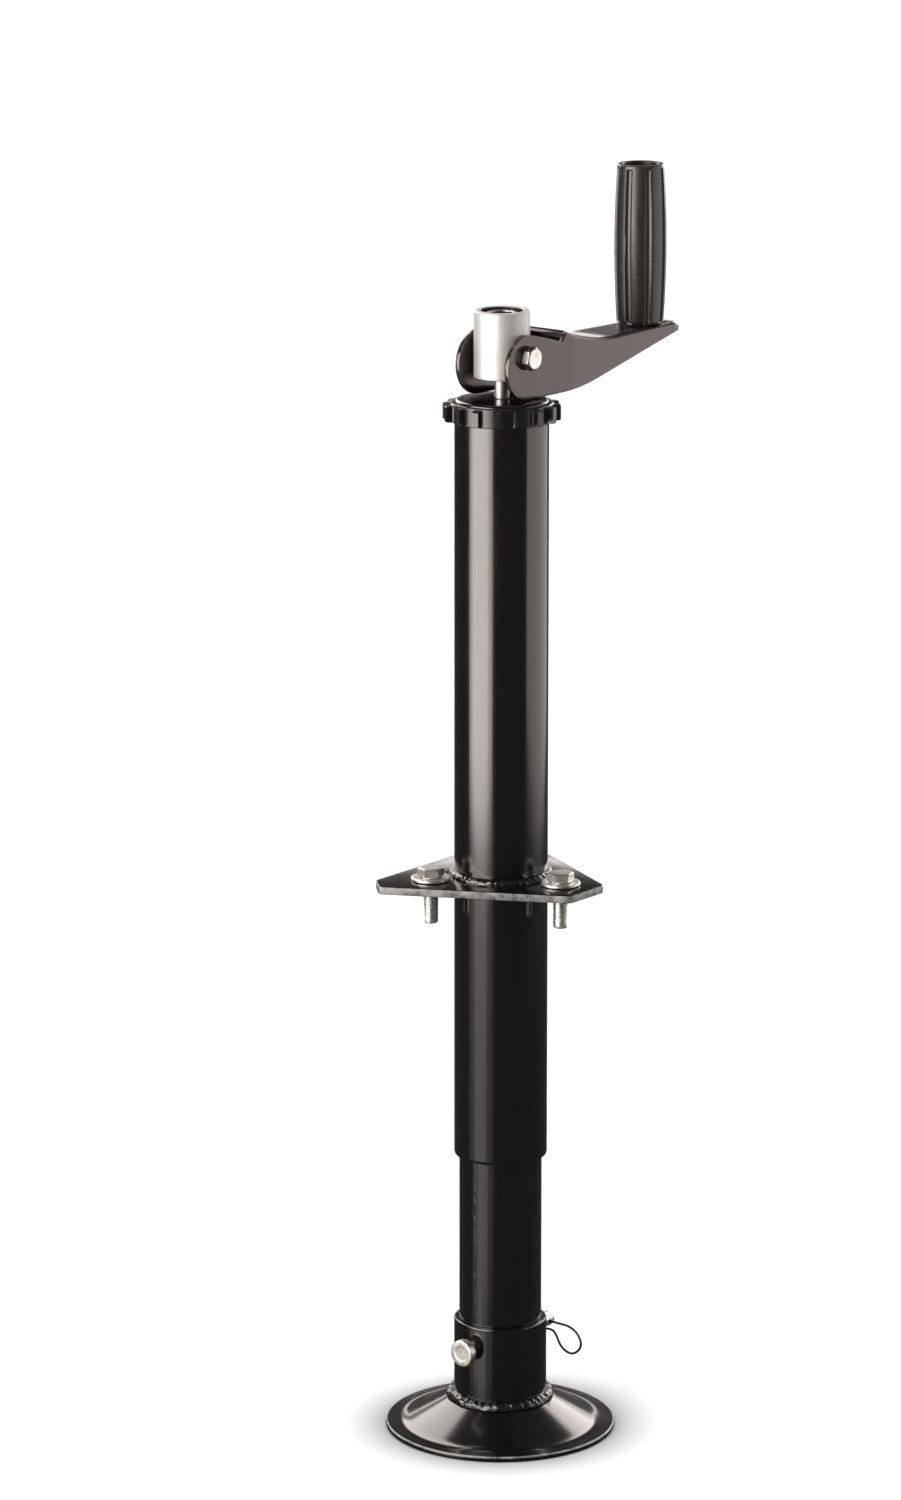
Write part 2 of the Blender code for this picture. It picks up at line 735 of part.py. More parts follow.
def make_foot():
    edge = 1.1 * MM
    sleeve_profile = [
        (0, SLEEVE_FLOOR),
        (SLEEVE_BORE_R, SLEEVE_FLOOR),
        (SLEEVE_BORE_R, SLEEVE_TOP),
        (SLEEVE_R - edge / 2, SLEEVE_TOP),
        (SLEEVE_R, SLEEVE_TOP - edge),
        (SLEEVE_R, 0),
        (0, 0),
    ]
    sleeve = place(turned("foot_sleeve", sleeve_profile, FINE), PAINT)
    drill(sleeve, PIN_R + GAP, 2 * SLEEVE_R, PIN_AXIS, rotation=ALONG_Y)

    inside = SLEEVE_R + GAP
    top = [
        (inside, FOOT_CROWN_Z),
        (inside + 3 * MM, FOOT_CROWN_Z - 0.8 * MM),
        (FOOT_RIM_IN_R - 4 * MM, FOOT_T + 1.9 * MM),
        (FOOT_RIM_IN_R, FOOT_T + 0.3 * MM),
        (FOOT_RIM_IN_R + 3 * MM, FOOT_T),
        (FOOT_R - edge, FOOT_T),
        (FOOT_R, FOOT_T - edge),
    ]
    under = [
        (FOOT_R, edge),
        (FOOT_R - edge, 0),
        (FOOT_RIM_IN_R + 1.5 * MM, 0),
        (FOOT_RIM_IN_R - 2.5 * MM, 1.6 * MM),
        (inside + 3 * MM, FOOT_CROWN_Z - FOOT_T - 1.4 * MM),
        (inside, FOOT_CROWN_Z - FOOT_T - 0.4 * MM),
    ]
    place(turned("foot_plate", top + under, FINE), PAINT)

    weld = [
        (inside, FOOT_CROWN_Z + 5 * MM),
        (inside + 2.4 * MM, FOOT_CROWN_Z + 3.6 * MM),
        (inside + 4.4 * MM, FOOT_CROWN_Z - 0.6 * MM),
        (inside + 3 * MM, FOOT_CROWN_Z - 0.8 * MM + GAP),
        (inside, FOOT_CROWN_Z + GAP),
    ]
    place(turned("foot_weld", weld, FINE), PAINT)


# Pin through the foot, with a hairpin clip through its tail


def clip_path():
    """The clip's leg through the pin, its teardrop loop, and the leg that hugs the pin from below."""
    leg = [(-11.0, 0), (6.0, 0), (12.0, -0.1)]
    loop = [
        (19.8, -0.5),
        (26.0, -3.4),
        (29.4, -9.0),
        (27.7, -14.2),
        (22.3, -17.6),
        (16.7, -16.5),
        (12.9, -13.4),
        (10.4, -8.9),
    ]
    hug = [(7.6, -5.9), (3.6, -5.4), (0, -6.0), (-3.2, -5.7), (-7.0, -7.4)]
    control = [Vector((x * MM, CLIP_Y, z * MM)) for x, z in leg + loop + hug]
    ends = [control[0], *control, control[-1]]
    path = []
    for before, start, end, after in zip(ends, ends[1:], ends[2:], ends[3:]):
        for step in range(3):
            t = step / 3
            path.append(
                0.5
                * (
                    2 * start
                    + (end - before) * t
                    + (2 * before - 5 * start + 4 * end - after) * t * t
                    + (3 * start - before - 3 * end + after) * t**3
                )
            )
    return [*path, control[-1]]


def make_foot_pin():
    neck = PIN_HEAD_FACE + PIN_HEAD_T
    profile = [
        (0, PIN_TAIL),
        (PIN_R - 1.8 * MM, PIN_TAIL),
        (PIN_R - 0.6 * MM, PIN_TAIL - 0.9 * MM),
        (PIN_R, PIN_TAIL - 2.4 * MM),
        (PIN_R, neck),
        (PIN_HEAD_R, neck),
        (PIN_HEAD_R, PIN_HEAD_FACE + 0.8 * MM),
        (PIN_HEAD_R - 0.8 * MM, PIN_HEAD_FACE),
        (0, PIN_HEAD_FACE),
    ]
    pin = place(turned("foot_pin", profile, 32), ZINC, PIN_AXIS, rotation=ALONG_Y)
    drill(
        pin,
        CLIP_WIRE_R + GAP,
        2 * PIN_R,
        PIN_AXIS,
        (0, CLIP_Y, 0),
        ALONG_X,
    )
    place(wire("pin_clip", clip_path(), CLIP_WIRE_R), WIRE, PIN_AXIS)


def make_jack():
    make_outer_tube()
    make_flange()
    make_flange_weld()
    make_flange_bolts()
    make_collar()
    make_top_plate()
    make_shaft_bush()
    collar_top = make_bearing()
    screw = make_screw(collar_top)
    make_hub(screw)
    make_arm()
    make_pivot_bolt()
    make_spindle()
    make_grip()
    make_inner_tube()
    make_drive_nut()
    make_foot()
    make_foot_pin()


make_jack()
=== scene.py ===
"""Looks of the trailer tongue jack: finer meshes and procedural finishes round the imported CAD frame.

Metres, +Z up, in the frame of the CAD model. The jack stands on z = 0 with its axis on Z, the coupler is
toward +X and the crank arm lies along +Y. Every new piece is made in place, so its object space is the
jack's own.
"""

import json
import math

import bmesh
import bpy
from mathutils import Matrix, Vector, noise


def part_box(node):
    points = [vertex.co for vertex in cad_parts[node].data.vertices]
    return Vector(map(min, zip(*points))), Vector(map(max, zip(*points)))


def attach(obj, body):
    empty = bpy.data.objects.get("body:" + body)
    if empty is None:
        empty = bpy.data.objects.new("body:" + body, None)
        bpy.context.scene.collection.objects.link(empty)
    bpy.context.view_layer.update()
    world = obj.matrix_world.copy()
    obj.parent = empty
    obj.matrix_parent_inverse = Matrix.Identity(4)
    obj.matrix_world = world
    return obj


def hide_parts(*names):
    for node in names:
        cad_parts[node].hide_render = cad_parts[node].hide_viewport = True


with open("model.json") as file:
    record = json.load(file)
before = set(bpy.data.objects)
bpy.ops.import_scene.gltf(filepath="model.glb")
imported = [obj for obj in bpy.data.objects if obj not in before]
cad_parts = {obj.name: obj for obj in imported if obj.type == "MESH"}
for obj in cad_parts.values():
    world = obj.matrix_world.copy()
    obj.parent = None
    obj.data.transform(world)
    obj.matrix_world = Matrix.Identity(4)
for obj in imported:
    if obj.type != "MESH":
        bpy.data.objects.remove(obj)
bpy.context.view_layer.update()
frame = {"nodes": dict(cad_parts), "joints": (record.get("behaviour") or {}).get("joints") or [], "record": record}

MM = 0.001
GAP = 0.3 * MM  # the CAD's clearance between pieces that touch
LOW = {name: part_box(name)[0] for name in frame["nodes"]}
HIGH = {name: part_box(name)[1] for name in frame["nodes"]}
JOINTS = {joint["name"]: joint for joint in frame["joints"]}
BODY_OF = {node: body for body, nodes in frame["record"]["behaviour"]["bodies"].items() for node in nodes}
SLOT_OF = {part["node"]: part["material_slot"] for part in frame["record"]["subparts"]}

PIVOT_Z = JOINTS["arm_fold"]["pos_m"][2]
GRIP_REACH = JOINTS["grip_spin"]["pos_m"][1]
PIN_Z = JOINTS["pin_turn"]["pos_m"][2]

# Sizes that a node's box doesn't give
TUBE_WALL = 2.7 * MM
INNER_WALL = 3 * MM
PIVOT_R = 4 * MM
HUB_RECESS_R = 13 * MM
HUB_RECESS_FLOOR = PIVOT_Z + 14 * MM
INSERT_R = 9.3 * MM
INSERT_BORE_R = 6.7 * MM
STUB_R = 4.5 * MM
STUB_TOP = PIVOT_Z - 6 * MM
SPINDLE_R = 6 * MM
SPINDLE_NECK_R = 5 * MM
BUSH_R = 8 * MM
PIN_R = 4.76 * MM
PIN_HEAD_T = 4.8 * MM
CLIP_Y = 44 * MM
CLIP_WIRE_R = 0.75 * MM
BOLT_CIRCLE_R = 46 * MM
BOLT_R = 4.76 * MM
BOLT_HEAD_AF = 14.3 * MM
BOLT_DEGREES = {"front": 0, "left": 120, "right": 240}
BOLT_TWIST_DEGREES = 12
BOLT_PITCH = 1.27 * MM
BOLT_THREADED = 19 * MM
WELD_PAINTED_HIGHLIGHT = (math.radians(-150), math.radians(-128))  # where the flange weld's bead is painted paler, a painted highlight
WELD_GAP = 0.05 * MM
PIVOT_HEAD_AF = 12.7 * MM
PIVOT_TWIST_DEGREES = 17
PIVOT_PITCH = 1.25 * MM
PIVOT_THREADED = 20 * MM
FLANGE_HALF = 72 * MM
FLANGE_NOSE_HALF = 17 * MM
FLANGE_CORNER = 12 * MM
RIBS = 16
RIB_W = 5 * MM
COLLAR_R = 31.4 * MM
FLUTES = 8
FLUTE_PHASE = 0.19

# Crank arm
ARM_HALF = 20 * MM
ARM_T = 2.6 * MM
ARM_TIP = 170 * MM
ARM_TIP_HALF = 13 * MM
ARM_TAPER_START = 45 * MM
ARM_TAPER_END = ARM_TIP - 15 * MM
ARM_EAR_R = 19.6 * MM
ARM_EAR_DROP = 5.8 * MM
ARM_NOTCH = 37 * MM
ARM_DECK = 1.5 * MM
ARM_DECK_HIGH = 12 * MM
ARM_DECK_LEVEL = 92 * MM
ARM_TIP_DROP = 2.2 * MM
ARM_TIP_DROP_START = ARM_TIP - 14 * MM
ARM_BELLY_START = 33 * MM
ARM_BELLY_BEND = 40 * MM
ARM_BELLY_SLOPE = 0.194
ARM_BELLY_TIP = -5 * MM
ARM_BEND = 2.8 * MM
ARM_WALL_STEPS = 8
ARM_DECK_STRIPS = 8

# Points round a turned piece
ROUND = 128
MEDIUM_ROUND = 96
SMALL_ROUND = 72

# Half lengths of the drills that pass right through
ACROSS_TUBES = 60 * MM
ACROSS_ARM = 40 * MM


# Node materials


def add(tree, kind, inputs=None, **settings):
    """A new shader node with these settings, each named input set to a value or linked to a socket."""
    made = tree.nodes.new(kind)
    for name, value in settings.items():
        setattr(made, name, value)
    for name, value in (inputs or {}).items():
        if isinstance(value, bpy.types.NodeSocket):
            tree.links.new(value, made.inputs[name])
        else:
            made.inputs[name].default_value = value
    return made


def grey(value):
    return (value, value, value, 1)


def speckle(tree, scale, detail=3.0, stretch=(1, 1, 1), roughness=0.55):
    """Noise in the jack's own space; scale is in features a metre."""
    place = add(tree, "ShaderNodeTexCoord")
    spread = add(tree, "ShaderNodeMapping", {"Vector": place.outputs["Object"], "Scale": stretch})
    made = add(
        tree,
        "ShaderNodeTexNoise",
        {"Vector": spread.outputs["Vector"], "Scale": scale, "Detail": detail, "Roughness": roughness},
    )
    return made.outputs["Fac"]


def between(tree, value, low, high, out_low, out_high):
    """value from the range low..high to out_low..out_high, held at the ends."""
    made = add(
        tree,
        "ShaderNodeMapRange",
        {"Value": value, "From Min": low, "From Max": high, "To Min": out_low, "To Max": out_high},
    )
    return made.outputs["Result"]


def calculated(tree, operation, first, second):
    made = add(tree, "ShaderNodeMath", operation=operation)
    for socket, value in zip(made.inputs, (first, second)):
        if isinstance(value, bpy.types.NodeSocket):
            tree.links.new(value, socket)
        else:
            socket.default_value = value
    return made.outputs["Value"]


def mixed(tree, share, first, second):
    """A colour between two colours."""
    made = add(tree, "ShaderNodeMix", data_type="RGBA")
    tree.links.new(share, made.inputs["Factor"])
    colour_inputs = [socket for socket in made.inputs if socket.type == "RGBA"]
    for socket, value in zip(colour_inputs, (first, second)):
        if isinstance(value, bpy.types.NodeSocket):
            tree.links.new(value, socket)
        else:
            socket.default_value = value
    return next(socket for socket in made.outputs if socket.type == "RGBA")


def bumped(tree, layers):
    """A normal from (height socket, depth in metres) layers."""
    normal = None
    for height, depth in layers:
        inputs = {"Height": height, "Strength": 1.0, "Distance": depth}
        if normal is not None:
            inputs["Normal"] = normal
        normal = add(tree, "ShaderNodeBump", inputs).outputs["Normal"]
    return normal


def worn_edges(tree, start, end):
    """0 on flat and hollow places and 1 on edges, broken up by noise."""
    edge = add(tree, "ShaderNodeNewGeometry").outputs["Pointiness"]
    sharp = between(tree, edge, start, end, 0, 1)
    broken = between(tree, speckle(tree, 260, 4), 0.42, 0.62, 0, 1)
    return calculated(tree, "MULTIPLY", sharp, broken)


def new_material(name, colour, roughness, **values):
    """A material and its tree and shader; values are Principled inputs that are the same all over."""
    material = bpy.data.materials.new(name)
    material.use_nodes = True
    tree = material.node_tree
    shader = tree.nodes["Principled BSDF"]
    shader.inputs["Base Color"].default_value = (*colour, 1)
    shader.inputs["Roughness"].default_value = roughness
    for key, value in values.items():
        shader.inputs[key.replace("_", " ")].default_value = value
    return material, tree, shader


def connect(tree, shader, **sockets):
    for key, socket in sockets.items():
        tree.links.new(socket, shader.inputs[key.replace("_", " ")])


def paint(name, colour, smooth, rough, peel, lumps=0.0, **values):
    """Black enamel over steel: orange peel, faint drawn lines, dust in the film, and paler where it is thin on
    edges. It is also paler where a face is marked: thin paint on sheared edges, and a painted highlight.
    """
    material, tree, shader = new_material(name, colour, smooth, Specular_IOR_Level=0.9, **values)
    blotches = speckle(tree, 22, 4)
    drawn = speckle(tree, 60, 3, stretch=(14, 14, 0.6))
    dust = speckle(tree, 1900, 2)
    worn = worn_edges(tree, 0.56, 0.68)
    # Faces marked here are painted paler: thin paint on cut edges, and a painted highlight on the weld and edges.
    thin_paint_and_highlight = add(tree, "ShaderNodeAttribute", attribute_name="thin_paint_and_highlight").outputs["Fac"]
    bare_and_highlit = calculated(tree, "MAXIMUM", calculated(tree, "MULTIPLY", worn, 0.18), thin_paint_and_highlight)
    patch = between(tree, speckle(tree, 170, 5), 0.35, 0.66, 0.3, 1)
    thin_and_highlit = calculated(tree, "MULTIPLY", bare_and_highlit, patch)
    dusted = mixed(tree, between(tree, dust, 0.66, 0.76, 0, 0.3), (*colour, 1), (0.11, 0.1, 0.09, 1))
    tinted = mixed(tree, thin_and_highlit, dusted, (0.3, 0.29, 0.28, 1))
    shine = between(tree, blotches, 0.3, 0.7, smooth, rough)
    streaked = calculated(tree, "ADD", shine, between(tree, drawn, 0.4, 0.7, 0, 0.025))
    connect(
        tree,
        shader,
        Base_Color=tinted,
        Roughness=calculated(tree, "ADD", streaked, calculated(tree, "MULTIPLY", thin_and_highlit, 0.3)),
        Normal=bumped(
            tree,
            [
                (speckle(tree, 420, 2), peel),
                (speckle(tree, 150, 3), peel + lumps),
                (dust, 0.008 * MM),
            ],
        ),
    )
    return material


def plating():
    """Bright zinc: a faint yellow cast, cloudy patches, fine scratches and dull white bloom. It is painted
    near black where a face is marked, as painted shade down in the hub's recess.
    """
    material, tree, shader = new_material("zinc_plating", (0.8, 0.79, 0.75), 0.3, Metallic=1.0)
    clouds = speckle(tree, 190, 5)
    grain = speckle(tree, 1400, 4)
    scratches = speckle(tree, 700, 2, stretch=(1, 8, 0.25))
    colour = mixed(tree, between(tree, clouds, 0.35, 0.68, 0, 1), (0.84, 0.84, 0.83, 1), (0.7, 0.68, 0.62, 1))
    bloom = between(tree, grain, 0.6, 0.74, 0, 0.45)
    # Faces marked here are painted near black: painted shade down in the hub's recess.
    painted_recess_shade = add(tree, "ShaderNodeAttribute", attribute_name="painted_recess_shade").outputs["Fac"]
    unshaded_zinc = mixed(tree, bloom, colour, (0.9, 0.9, 0.88, 1))
    dullness = between(tree, clouds, 0.3, 0.7, 0.28, 0.42)
    scratched = between(tree, scratches, 0.45, 0.7, 0, 0.12)
    connect(
        tree,
        shader,
        Base_Color=mixed(tree, painted_recess_shade, unshaded_zinc, (0.05, 0.044, 0.038, 1)),
        Roughness=calculated(tree, "ADD", dullness, scratched),
        Normal=bumped(tree, [(grain, 0.03 * MM), (scratches, 0.02 * MM)]),
    )
    return material


def cast_alloy():
    """Bead-blasted light alloy: pale, even and satin, with a fine grain and a few darker rubs. It is painted
    near black where a face is marked, as painted shade inside the hub's recess.
    """
    material, tree, shader = new_material("cast_alloy", (0.6, 0.6, 0.58), 0.48, Metallic=0.6)
    grain = speckle(tree, 2600, 3)
    pores = speckle(tree, 900, 4)
    rubs = speckle(tree, 120, 5, stretch=(1, 1, 0.4))
    colour = mixed(tree, between(tree, rubs, 0.5, 0.75, 0, 1), (0.6, 0.597, 0.59, 1), (0.48, 0.47, 0.46, 1))
    pitted = mixed(tree, between(tree, pores, 0.68, 0.76, 0, 0.6), colour, (0.25, 0.245, 0.24, 1))
    # Faces marked here are painted near black: painted shade inside the hub's recess.
    painted_recess_shade = add(tree, "ShaderNodeAttribute", attribute_name="painted_recess_shade").outputs["Fac"]
    connect(
        tree,
        shader,
        Base_Color=mixed(tree, painted_recess_shade, pitted, (0.035, 0.03, 0.026, 1)),
        Roughness=between(tree, rubs, 0.3, 0.7, 0.44, 0.54),
        Normal=bumped(tree, [(grain, 0.05 * MM), (pores, 0.06 * MM)]),
    )
    return material


def moulded(name, colour, smooth, rough, grain_depth):
    """Moulded plastic: a fine spark-eroded grain, soft shine, and paler rubbed edges."""
    material, tree, shader = new_material(name, colour, smooth, Specular_IOR_Level=0.65)
    grain = speckle(tree, 2200, 3)
    handled = speckle(tree, 70, 4)
    flow = speckle(tree, 45, 3, stretch=(1, 1, 0.2))
    pale = tuple(2.2 * value + 0.01 for value in colour)
    worn = calculated(tree, "MULTIPLY", worn_edges(tree, 0.52, 0.6), 0.6)
    varied = mixed(tree, between(tree, flow, 0.3, 0.7, 0, 0.35), (*colour, 1), (*pale, 1))
    connect(
        tree,
        shader,
        Base_Color=mixed(tree, worn, varied, (*(3.2 * value + 0.02 for value in colour), 1)),
        Roughness=between(tree, handled, 0.3, 0.7, smooth, rough),
        Normal=bumped(tree, [(grain, grain_depth), (speckle(tree, 300, 2), 0.5 * grain_depth)]),
    )
    return material


def machined(name, bright, dull, smooth, rough):
    """Turned metal: fine tool lines round the axis, oil stains and a little discolouring."""
    material, tree, shader = new_material(name, bright, smooth, Metallic=1.0)
    lines = speckle(tree, 80, 3, stretch=(1, 1, 55))
    stains = speckle(tree, 90, 5)
    stained = between(tree, stains, 0.3, 0.7, smooth, rough)
    connect(
        tree,
        shader,
        Base_Color=mixed(tree, between(tree, stains, 0.4, 0.7, 0, 1), (*bright, 1), (*dull, 1)),
        Roughness=calculated(tree, "ADD", stained, between(tree, lines, 0.4, 0.7, 0, 0.1)),
        Normal=bumped(tree, [(lines, 0.03 * MM)]),
    )
    return material


ENAMEL = (0.0042, 0.0036, 0.0032)

# The finish of each material slot
FINISHES = {
    "gloss_paint": paint("gloss_paint", ENAMEL, 0.12, 0.17, 0.005 * MM),
    "weld_paint": paint("weld_paint", ENAMEL, 0.2, 0.34, 0.03 * MM, 0.2 * MM),
    "arm_paint": paint(
        "arm_paint",
        (0.0075, 0.006, 0.0056),
        0.15,
        0.2,
        0.006 * MM,
        IOR=1.53,
        Specular_Tint=(1, 0.87, 0.89, 1),
    ),
    "collar_plastic": moulded("collar_plastic", (0.0035, 0.003, 0.0028), 0.2, 0.28, 0.015 * MM),
    "grip_plastic": moulded("grip_plastic", (0.017, 0.0132, 0.0112), 0.26, 0.34, 0.02 * MM),
    "zinc_plate": plating(),
    "hub_alloy": cast_alloy(),
    "bearing_steel": machined("bearing_steel", (0.6, 0.6, 0.59), (0.45, 0.43, 0.4), 0.15, 0.3),
    "screw_steel": machined("screw_steel", (0.5, 0.49, 0.48), (0.28, 0.25, 0.22), 0.28, 0.45),
    "bronze": machined("bronze", (0.16, 0.105, 0.06), (0.05, 0.035, 0.022), 0.4, 0.55),
    "spring_wire": machined("spring_wire", (0.09, 0.088, 0.085), (0.04, 0.035, 0.03), 0.3, 0.42),
}


# Meshes


def smooth_by_angle(mesh, degrees=32):
    mesh.shade_smooth()
    mesh.set_sharp_from_angle(angle=math.radians(degrees))


def object_from(name, bm):
    mesh = bpy.data.meshes.new(name)
    bmesh.ops.remove_doubles(bm, verts=bm.verts, dist=1e-7)
    bm.to_mesh(mesh)
    bm.free()
    smooth_by_angle(mesh)
    obj = bpy.data.objects.new(name, mesh)
    bpy.context.scene.collection.objects.link(obj)
    return obj


def filleted(corners, steps=5):
    """A closed outline from (a, b, setback) corners, each rounded from its setback before to as far after."""
    outline = []
    for index, (a, b, setback) in enumerate(corners):
        here = Vector((a, b))
        if not setback:
            outline.append(here)
            continue
        before = Vector(corners[index - 1][:2])
        after = Vector(corners[(index + 1) % len(corners)][:2])
        start = here + (before - here).normalized() * setback
        end = here + (after - here).normalized() * setback
        for step in range(steps + 1):
            t = step / steps
            outline.append(start * (1 - t) ** 2 + here * 2 * t * (1 - t) + end * t * t)
    return outline


def turned(name, outline, steps=ROUND, shape=None):
    """Revolves a closed (radius, z) outline about Z. shape(radius, z, turn) gives a new (radius, z)."""
    bm = bmesh.new()
    rings = []
    for radius, z in outline:
        ring = []
        for step in range(steps):
            turn = 2 * math.pi * step / steps
            r, height = shape(radius, z, turn) if shape else (radius, z)
            ring.append(bm.verts.new((r * math.cos(turn), r * math.sin(turn), height)))
        rings.append(ring)
    for lower, upper in zip(rings, rings[1:] + rings[:1]):
        for step in range(steps):
            bm.faces.new((lower[step - 1], lower[step], upper[step], upper[step - 1]))
    bmesh.ops.remove_doubles(bm, verts=bm.verts, dist=1e-7)
    bmesh.ops.recalc_face_normals(bm, faces=bm.faces)
    return object_from(name, bm)


def levels(start, end, count):
    """count + 1 evenly spaced values, with both ends."""
    return [start + (end - start) * i / count for i in range(count + 1)]


def baked(obj):
    """Applies the object's modifiers for good."""
    bpy.context.view_layer.update()
    graph = bpy.context.evaluated_depsgraph_get()
    mesh = bpy.data.meshes.new_from_object(obj.evaluated_get(graph))
    obj.modifiers.clear()
    obj.data = mesh
    smooth_by_angle(mesh)
    return obj


def cut(obj, *tools):
    """Takes each tool out of the object, and removes the tools."""
    for tool in tools:
        modifier = obj.modifiers.new("Cut", "BOOLEAN")
        modifier.operation = "DIFFERENCE"
        modifier.solver = "EXACT"
        modifier.object = tool
    baked(obj)
    for tool in tools:
        bpy.data.objects.remove(tool, do_unlink=True)
    return obj


def moved(obj, location, matrix=None):
    """Moves the mesh itself, so that the object stays at the origin."""
    place = Matrix.Translation(location)
    obj.data.transform(place @ matrix if matrix else place)
    return obj


ALONG_X = Matrix.Rotation(math.radians(90), 4, "Y")
ALONG_Y = Matrix.Rotation(math.radians(-90), 4, "X")


def drill(radius, half_length, location, matrix=None):
    """A cutter for a round hole."""
    outline = [(0, half_length), (radius, half_length), (radius, -half_length), (0, -half_length)]
    return moved(turned("drill", outline, 64), location, matrix)


def stand_for(obj, node):
    """Shows a finer piece for a CAD node, on the node's body and in its slot's finish."""
    slot = SLOT_OF[node]
    obj.name = node + "_fine"
    obj.data.materials.clear()
    obj.data.materials.append(FINISHES[slot])
    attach(obj, BODY_OF[node])
    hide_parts(node)
    return obj


def eased(value, start, end):
    """0 before start, 1 after end, and a smooth step between them."""
    t = min(max((value - start) / (end - start), 0), 1)
    return 3 * t * t - 2 * t**3


def lumpy(radius, z, turn, scale, seed):
    """Smooth noise round a ring, from -1 to 1."""
    spot = Vector((radius * math.cos(turn), radius * math.sin(turn), z)) * scale
    return noise.noise(spot + Vector((seed, 0, 0)))


# Tubes


def make_outer_tube():
    low, high = LOW["outer_tube"], HIGH["outer_tube"]
    outer, inner = high.x, high.x - TUBE_WALL
    corners = [
        (outer, high.z, 0.5 * MM),
        (outer, low.z, 2.4 * MM),
        (inner, low.z, 0.4 * MM),
        (inner, high.z, 0.5 * MM),
    ]
    stand_for(turned("outer_tube", filleted(corners, 8)), "outer_tube")


def make_inner_tube():
    low, high = LOW["inner_tube"], HIGH["inner_tube"]
    outer, inner = high.x, high.x - INNER_WALL
    edges = ((outer, high.z), (outer, low.z), (inner, low.z), (inner, high.z))
    tube = turned("inner_tube", filleted([(radius, z, 0.5 * MM) for radius, z in edges]))
    stand_for(cut(tube, drill(PIN_R + GAP, ACROSS_TUBES, (0, 0, PIN_Z), ALONG_Y)), "inner_tube")


# Flange, weld and bolts


def flange_corners():
    low, high = LOW["mounting_plate"], HIGH["mounting_plate"]
    rear, front, half = low.x, high.x, FLANGE_HALF
    soft = 3.5 * MM
    side = [
        (front, FLANGE_NOSE_HALF, soft),
        (rear + FLANGE_CORNER, half, soft),
        (rear, half - FLANGE_CORNER, soft),
    ]
    return side + [(x, -y, soft) for x, y, _ in reversed(side)]


def slab(name, outline, bottom, top):
    """A flat outline made into a plate."""
    bm = bmesh.new()
    face = bm.faces.new([bm.verts.new((x, y, bottom)) for x, y in outline])
    raised = bmesh.ops.extrude_face_region(bm, geom=[face])
    verts = [v for v in raised["geom"] if isinstance(v, bmesh.types.BMVert)]
    bmesh.ops.translate(bm, verts=verts, vec=(0, 0, top - bottom))
    bmesh.ops.recalc_face_normals(bm, faces=bm.faces)
    return object_from(name, bm)


def add_bevel(obj, width, segments=3, degrees=40):
    modifier = obj.modifiers.new("Bevel", "BEVEL")
    modifier.width = width
    modifier.segments = segments
    modifier.limit_method = "ANGLE"
    modifier.angle_limit = math.radians(degrees)
    return obj


def bolt_spot(name, z):
    turn = math.radians(BOLT_DEGREES[name])
    return Vector((BOLT_CIRCLE_R * math.cos(turn), BOLT_CIRCLE_R * math.sin(turn), z))


def mark(obj, name, is_marked):
    """Marks the chosen faces in an attribute that the finishes read: one makes paint paler, for thin paint and a
    painted highlight; the other paints recess faces near black, as painted shade.
    """
    marks = obj.data.attributes.new(name, "FLOAT", "CORNER")
    for face in obj.data.polygons:
        for loop in face.loop_indices:
            marks.data[loop].value = 1.0 if is_marked(face) else 0.0


def make_flange():
    low, high = LOW["mounting_plate"], HIGH["mounting_plate"]
    plate = baked(add_bevel(slab("mounting_plate", filleted(flange_corners(), 6), low.z, high.z), 0.7 * MM))
    middle = (low.z + high.z) / 2
    tools = [drill(HIGH["outer_tube"].x + GAP, 10 * MM, (0, 0, middle))]
    for name in BOLT_DEGREES:
        tools.append(drill(BOLT_R + 0.4 * MM, 10 * MM, bolt_spot(name, middle)))
    cut(plate, *tools)
    outside = HIGH["outer_tube"].x + 4 * MM
    # The flange's cut edges are painted paler: thin paint on the sheared edge, and a painted highlight.
    mark(plate, "thin_paint_and_highlight", lambda face: abs(face.normal.z) < 0.5 and face.center.xy.length > outside)
    stand_for(plate, "mounting_plate")


def weld_bead(name, inside, foot, leg, ripples, seed):
    """A rippled fillet weld round a tube, standing on a plate at the foot's height."""
    section = [(inside, foot + leg), (inside, foot)]
    section += [
        (inside + leg * math.sin(angle), foot + leg * math.cos(angle) * 0.98)
        for angle in levels(math.pi / 2, 0.05, 9)
    ]

    def shape(radius, z, turn):
        out = min((radius - inside) / leg, 1)
        up = min((z - foot) / leg, 1)
        swell = out * up * 4
        ripple = 0.5 + 0.5 * math.cos(ripples * turn + 2.2 * up + 1.5 * lumpy(radius, z, turn, 120, seed))
        lump = lumpy(radius, z, turn, 210, seed) + 0.6 * lumpy(radius, z, turn, 520, seed + 3)
        grow = leg * (0.05 * ripple * swell + 0.17 * lump * min(out + up, 1) * swell * 0.5)
        wide = leg * 0.2 * lumpy(radius, 0, turn, 90, seed + 7)
        return radius + grow + wide * out, z + grow * 0.5 + wide * up * 0.6

    return turned(name, section, 360, shape)


def make_plate_weld():
    low, high = LOW["plate_weld"], HIGH["plate_weld"]
    inside = HIGH["outer_tube"].x + WELD_GAP
    bead = weld_bead("plate_weld", inside, low.z - 0.2 * MM, high.z - low.z, 46, 2.0)
    start, end = WELD_PAINTED_HIGHLIGHT
    # One side of the bead is painted paler: a painted highlight, standing in for the light it reflects.
    mark(bead, "thin_paint_and_highlight", lambda face: start < math.atan2(face.center.y, face.center.x) < end)
    stand_for(bead, "plate_weld")


# A hexagon's chamfer: the radius where it starts, as a share of the width across flats, and its slope
HEX_CROWN = 0.46
HEX_CHAMFER_SLOPE = 1.5


def hex_radius(turn, across_flats):
    """Radius of a hexagon's outline in this direction."""
    sixth = math.pi / 3
    return across_flats / 2 / math.cos((turn + sixth / 2) % sixth - sixth / 2)


